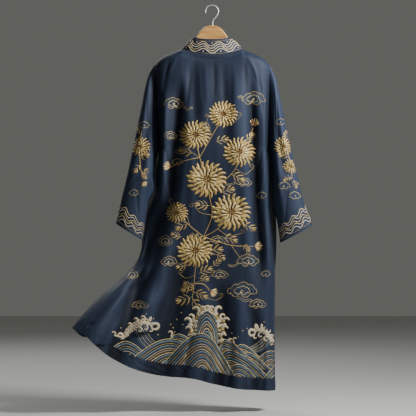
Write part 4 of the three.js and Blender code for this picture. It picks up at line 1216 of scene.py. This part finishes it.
def mound(work, row):
    """Bands of water inside each other. The mound covers what is sewn behind it later."""
    reach = min(row["peak_z"] - row["left_z"], (row["right_x"] - row["left_x"]) / 2)
    reach = max(reach, 40) + row["drop"]
    for level in range(int(reach * 0.9 / BAND_STEP)):
        band(work, mound_line(row, 1 - level * BAND_STEP / reach), level)
    skirt = [(row[f"{end}_x"], row[f"{end}_z"] - row["drop"]) for end in ("right", "left")]
    work.covers.append(np.concatenate([mound_line(row, 1.0), skirt]))


for values in zip(*MOUNDS.values()):
    mound(waves, dict(zip(MOUNDS, values)))

# The tall crest: an arch of bands, with a thick rim of foam that breaks into curls.
ARCH = ((-62, -1240), (-58, -1175), (-44, -1140), (-20, -1117), (4, -1140), (20, -1175), (26, -1240))
arch = path_through(ARCH)
ARCH_MIDDLE = -19
ARCH_REACH = 80
ARCH_BANDS = 8
ARCH_STEP = 0.105
arch_foot = np.array((ARCH_MIDDLE, -1240))
for level in range(ARCH_BANDS):
    band(waves, arch_foot + (arch - arch_foot) * (1 - ARCH_STEP * level), level + 1, 1.1)
waves.covers.append(arch)


def foam_curl(work, x, z, radius, start, way, root):
    """A hook of foam in cream with a gold edge, thick at its root and pointed at its tip."""
    curl = spiral(x, z, radius, start, 0.62, way, 0.5)
    curl = np.concatenate([path_through([root, tuple(curl[0])])[:-1], curl])
    wide = radius * (0.16 + 0.36 * np.sin(np.linspace(0.25, 1, len(curl)) ** 1.2 * math.pi) ** 0.8)
    work.edged(curl, wide, CREAM, GOLD, 1.1, (0.3, 0.55), (0.35, 0.5))


# The curls on the left of the arch turn one way, and their mirror images on the right the other. The
# stray ones are given by x, z, radius and way.
CREST_CURLS = {
    1: (-36, -62, -78, -92, -70, -88, -62, -80),
    -1: (0, 26, 40, 54, 32, 50, 26, 44),
    "z": (-1112, -1116, -1140, -1156, -1166, -1186, -1196, -1212),
    "radius": (13, 16, 12, 16, 12, 15, 11, 14),
}
STRAY_CURLS = (
    (-154, -1200, 10, 1),
    (84, -1222, 9, -1),
    (-18, -1106, 10, 1),
    (-108, -1222, 9, 1),
    (68, -1226, 9, -1),
)
curls = [
    (x, z, radius, way)
    for way in (1, -1)
    for x, z, radius in zip(CREST_CURLS[way], CREST_CURLS["z"], CREST_CURLS["radius"])
]
for x, z, radius, way in (*curls, *STRAY_CURLS):
    on_crest = abs(x - ARCH_MIDDLE) < ARCH_REACH
    root = (ARCH_MIDDLE - 26 * way, z - 20) if on_crest else (x + 8 * way, z - 22)
    foam_curl(waves, x, z, radius, -60 if way > 0 else 240, way, root)
for grow, tone in ((1.09, TAN), (1.2, GOLD)):
    waves.strip(arch_foot + (arch - arch_foot) * (grow, 1 + (grow - 1) * 0.6), 7.5, tone, 0.3, 0.15)


def breaking_wave(work, crest, streams, curls):
    """A wave that topples: a thick crest of foam with curls, over lines of falling water. The lines
    fill the space between two streams, and each curl has x, z, radius, start and way."""
    first, last = np.array(streams, float)
    tones = (BLUE_GREY, CREAM, BLUE_GREY, LIGHT_GOLD)
    for i, s in enumerate(np.arange(8) / 7):
        path = path_through(first * (1 - s) + last * s)
        work.strip(path, 1.0 if i % 2 else 1.5, tones[i % len(tones)], 0.3, 0.15)
    path = path_through(crest)
    body = swell(len(path), 6, 0.4, 2.5)
    for x, z, radius, start, way in curls:
        root = path[np.argmin(np.linalg.norm(path - (x, z), axis=1))]
        foam_curl(work, x, z, radius * 1.25, start, way, tuple(root))
    for i in range(3, len(path) - 2, 3):
        step = path[i] - path[i - 3]
        beside = np.array([-step[1], step[0]])
        for side, start in ((-1, 120), (1, 200)):
            centre = path[i] + step * 0.7 + beside * 0.5 * side
            lobe = spiral(*centre, body[i] * 0.8, start, 0.6, -side, 0.5)
            work.edged(lobe, body[i] * 0.5, CREAM, GOLD, 1, (0.3, 0.5), (0.55, 0.7))
    work.edged(path, body, CREAM, GOLD, 1.2, (0.3, 0.5), (0.3, 0.4), 5)


breaking_wave(
    waves,
    ((-318, -1214), (-300, -1188), (-272, -1166), (-244, -1156), (-218, -1166)),
    (((-282, -1178), (-262, -1226), (-232, -1258)), ((-244, -1170), (-222, -1214), (-190, -1246))),
    (
        (-206, -1176, 11, 70, -1), (-300, -1168, 8, -70, 1), (-278, -1150, 8, -60, 1),
        (-252, -1142, 8, -50, 1), (-230, -1146, 8, 40, -1), (-222, -1186, 7, 70, -1),
        (-334, -1206, 10, -60, 1), (-356, -1196, 7, -60, 1), (-262, -1184, 7, 60, -1),
        (-240, -1178, 7, 60, -1), (-312, -1200, 7, -60, 1),
    ),
)
breaking_wave(
    waves,
    ((228, -1262), (222, -1232), (204, -1206), (180, -1190), (158, -1192)),
    (((212, -1236), (186, -1262), (136, -1276)), ((190, -1214), (160, -1240), (118, -1258))),
    (
        (146, -1200, 11, 110, 1), (166, -1178, 8, 120, 1), (188, -1176, 8, 130, 1),
        (208, -1190, 8, 160, 1), (176, -1208, 7, 120, 1), (196, -1222, 7, 120, 1),
        (220, -1214, 7, 200, -1), (158, -1214, 6, 120, 1),
    ),
)
DROPS = (
    (-212, -1146), (-238, -1128), (-142, -1180), (-128, -1150), (-150, -1168), (-112, -1126),
    (-136, -1196), (72, -1200), (96, -1212), (112, -1190), (-196, -1204), (128, -1182),
    (190, -1160), (-330, -1178), (-106, -1168),
)
for x, z in DROPS:
    waves.strip(spiral(x, z, 1.6, 0, 0.9, 1, 0.9), 1.3, LIGHT_GOLD, 0.5, 0.3)
waves_piece = waves.finish()

# A short spray of flowers and leaves in gold satin stitch lies on each sleeve above the elbow, with
# clouds over and under it. Each spray is sewn to the sleeve's cloth.
# Leaves: x, z, length, angle. Flowers: x, z, radius, squash, turn. Clouds: x, z, width, height, flip.
SLEEVE_SPRAYS = {
    "left": {
        "stems": (((-252, -640), (-262, -590), (-264, -520), (-258, -470)),),
        "leaves": (
            (-254, -630, 36, 60), (-262, -585, 40, 235), (-264, -560, 40, 20), (-262, -478, 34, 110),
            (-256, -612, 34, -60),
        ),
        "blooms": ((-262, -520, 38, 0.95, 4),),
        "bud": (-252, -648, 22, -60),
        "clouds": ((-248, -442, 40, 24, -1), (-286, -690, 34, 22)),
    },
    "right": {
        "stems": (
            ((292, -640), (290, -590), (272, -530), (262, -480)),
            ((290, -600), (306, -610), (316, -640)),
        ),
        "leaves": (
            (292, -632, 36, 200), (290, -610, 34, 20), (280, -560, 40, 160), (262, -486, 36, 60),
            (272, -520, 34, -10), (298, -640, 36, -70),
        ),
        "blooms": ((262, -518, 38, 0.95, 4), (288, -592, 29, 0.95, 9)),
        "bud": (318, -646, 20, -60),
        "clouds": ((262, -664, 46, 26), (304, -700, 44, 26, -1), (250, -430, 36, 22)),
    },
}
sleeve_cloth = {"left": (left_points, left_out), "right": (right_points, right_out)}
for side, (points, out) in sleeve_cloth.items():
    spray = SLEEVE_SPRAYS[side]
    work = Work(f"embroidered_sleeve_{side}", seen_from_behind(points, out, looped=True))
    for stem in spray["stems"]:
        work.edged(path_through(stem), 1.8, GOLD, DEEP_GOLD, 0.8, (0.3, 0.45), (0.05, 0.2))
    for one in spray["leaves"]:
        leaf(work, *one)
    for one in spray["blooms"]:
        bloom(work, *one)
    bud(work, *spray["bud"])
    for one in spray["clouds"]:
        cloud(work, *one)
    work.finish()


# Wavy lines of cream and gold thread run along the collar and round both cuffs, inside narrow gold
# edging lines. They are sewn along the cloth, so their distances are measured on it.
def along_the_cloth(points, out, thickness, along, across, looped=False):
    """Lays strokes by two distances in millimetres, along the rows of a grid and across its columns."""
    rows, count = points.shape[:2]

    def lay(flat):
        row = np.interp(flat[:, 0], along, np.arange(len(along)))
        column = np.interp(flat[:, 1], across, np.arange(len(across)))
        row = np.clip(row, 0, rows - 1.001)
        column = column % count if looped else np.clip(column, 0, count - 1.001)
        i, j = row.astype(int), column.astype(int)
        s, t = (row - i)[:, None], (column - j)[:, None]
        after = (j + 1) % count if looped else j + 1
        blended = []
        for grid in (points, out):
            upper = grid[i, j] * (1 - t) + grid[i, after] * t
            lower = grid[i + 1, j] * (1 - t) + grid[i + 1, after] * t
            blended.append(upper * (1 - s) + lower * s)
        normal = unit(blended[1])
        return blended[0] + normal * thickness / 2, normal, np.ones(len(flat), bool)

    return lay


band_along = lengths(collar_grid, 0)[:, COLLAR_ACROSS // 2] * 1000
band_along = band_along - band_along[len(band_along) // 2]
band_across = lengths(collar_grid, 1)[len(band_along) // 2] * 1000
band_lay = along_the_cloth(collar_grid, collar_out, BAND, band_along, band_across)
collar_work = Work("embroidered_collar", band_lay)
BAND_WAVE = 60
BAND_SWING = 8
BAND_LINES = ((13, CREAM), (22, LIGHT_GOLD), (31, CREAM), (40, LIGHT_GOLD))
BAND_EDGES = (3.2, 51)
at = np.arange(band_along[0] + 6, band_along[-1] - 6, 2.6)
for i, (middle, tone) in enumerate(BAND_LINES):
    line = np.stack([at, middle - BAND_SWING * np.cos(at * 2 * math.pi / BAND_WAVE + 0.16 * i)], axis=-1)
    collar_work.strip(line, 2.1, tone, 0.4, 0.2)
for edge in BAND_EDGES:
    collar_work.strip(np.stack([at, np.full_like(at, edge)], axis=-1), 0.7, GOLD, 0.3, 0.15)
for k in range(int(band_along[0] / BAND_WAVE) + 1, int(band_along[-1] / BAND_WAVE)):
    for along, up, tone in (((k + 0.5) * BAND_WAVE, 11, LIGHT_GOLD), (k * BAND_WAVE, 43, CREAM)):
        collar_work.strip(spiral(along, up, 1.8, 0, 0.9, 1, 0.9), 1.2, tone, 0.4, 0.3)
collar_piece = collar_work.finish()

CUFF_WAVE = 44
CUFF_SWING = 6.2
CUFF_LINES = 5
CUFF_FROM = 21
CUFF_STEP = 10
CUFF_EDGE = 11
for side, (points, out) in sleeve_cloth.items():
    closed = np.concatenate([points, points[:, :1]], axis=1)
    up = lengths(points, 0)[:, SLEEVE_AROUND // 4] * 1000
    up = up[-1] - up
    girth = lengths(closed[-12:], 1)[0] * 1000
    flipped = along_the_cloth(points[::-1], out[::-1], CLOTH, up[::-1], girth, looped=True)
    work = Work(f"embroidered_cuff_{side}", flipped)
    count = round(girth[-1] / CUFF_WAVE)
    at = np.linspace(0, girth[-1] - 0.5, int(girth[-1] / STEP))
    for i in range(CUFF_LINES):
        swing = CUFF_SWING * np.cos(at * 2 * math.pi * count / girth[-1] + 0.5 * (i % 2))
        tone = (CREAM, LIGHT_GOLD, GOLD)[i % 3]
        work.strip(np.stack([CUFF_FROM + CUFF_STEP * i + swing, at], axis=-1), 2, tone, 0.35, 0.2)
    work.strip(np.stack([np.full_like(at, CUFF_EDGE), at], axis=-1), 0.7, GOLD, 0.3, 0.15)
    work.finish()

# The hanger is bent beech under a honey-coloured varnish, its grain running along the arms. Its hook is
# polished steel wire, pushed into a hole in the hump. Both keep the frame's solids.
def wood():
    made = Finish("honey_beech", coat_weight=0.05, coat_roughness=0.45)
    place = made.node("ShaderNodeTexCoord", output=3)
    bent = made.noise(place, 9, 2)
    grain = made.noise(made.stretch(place, (7, 120, 120)), 1, 4, 0.6)
    fleck = made.noise(made.stretch(place, (60, 700, 700)), 1, 2)
    tone = (grain * 1.5 + bent * 0.8 + fleck * 0.25 - 0.8).at_least(0).at_most(1)
    made.feed("Base Color", made.blend((0.25, 0.102, 0.019), (0.60, 0.34, 0.105), tone))
    made.feed("Roughness", grain * 0.2 + 0.38)
    made.bump(grain * 0.6 + fleck * 0.4, 0.0003, 0.4)
    return made.material


def steel():
    """Polished steel wire with fine scratches round it."""
    made = Finish("hook_steel", metallic=1.0)
    place = made.node("ShaderNodeTexCoord", output=3)
    cloud = made.noise(place, 60, 3)
    scratch = made.noise(made.stretch(place, (300, 300, 2600)), 1, 2)
    made.feed("Base Color", made.blend((0.52, 0.515, 0.50), (0.74, 0.735, 0.72), cloud))
    made.feed("Roughness", cloud * 0.1 + scratch * 0.1 + 0.42)
    made.bump(scratch, 0.0001, 0.3)
    return made.material


for node, finish in (("hanger_arms", wood()), ("hanger_hook", steel())):
    solid = bpy.data.objects[node]
    for place in solid.material_slots:
        place.material = finish
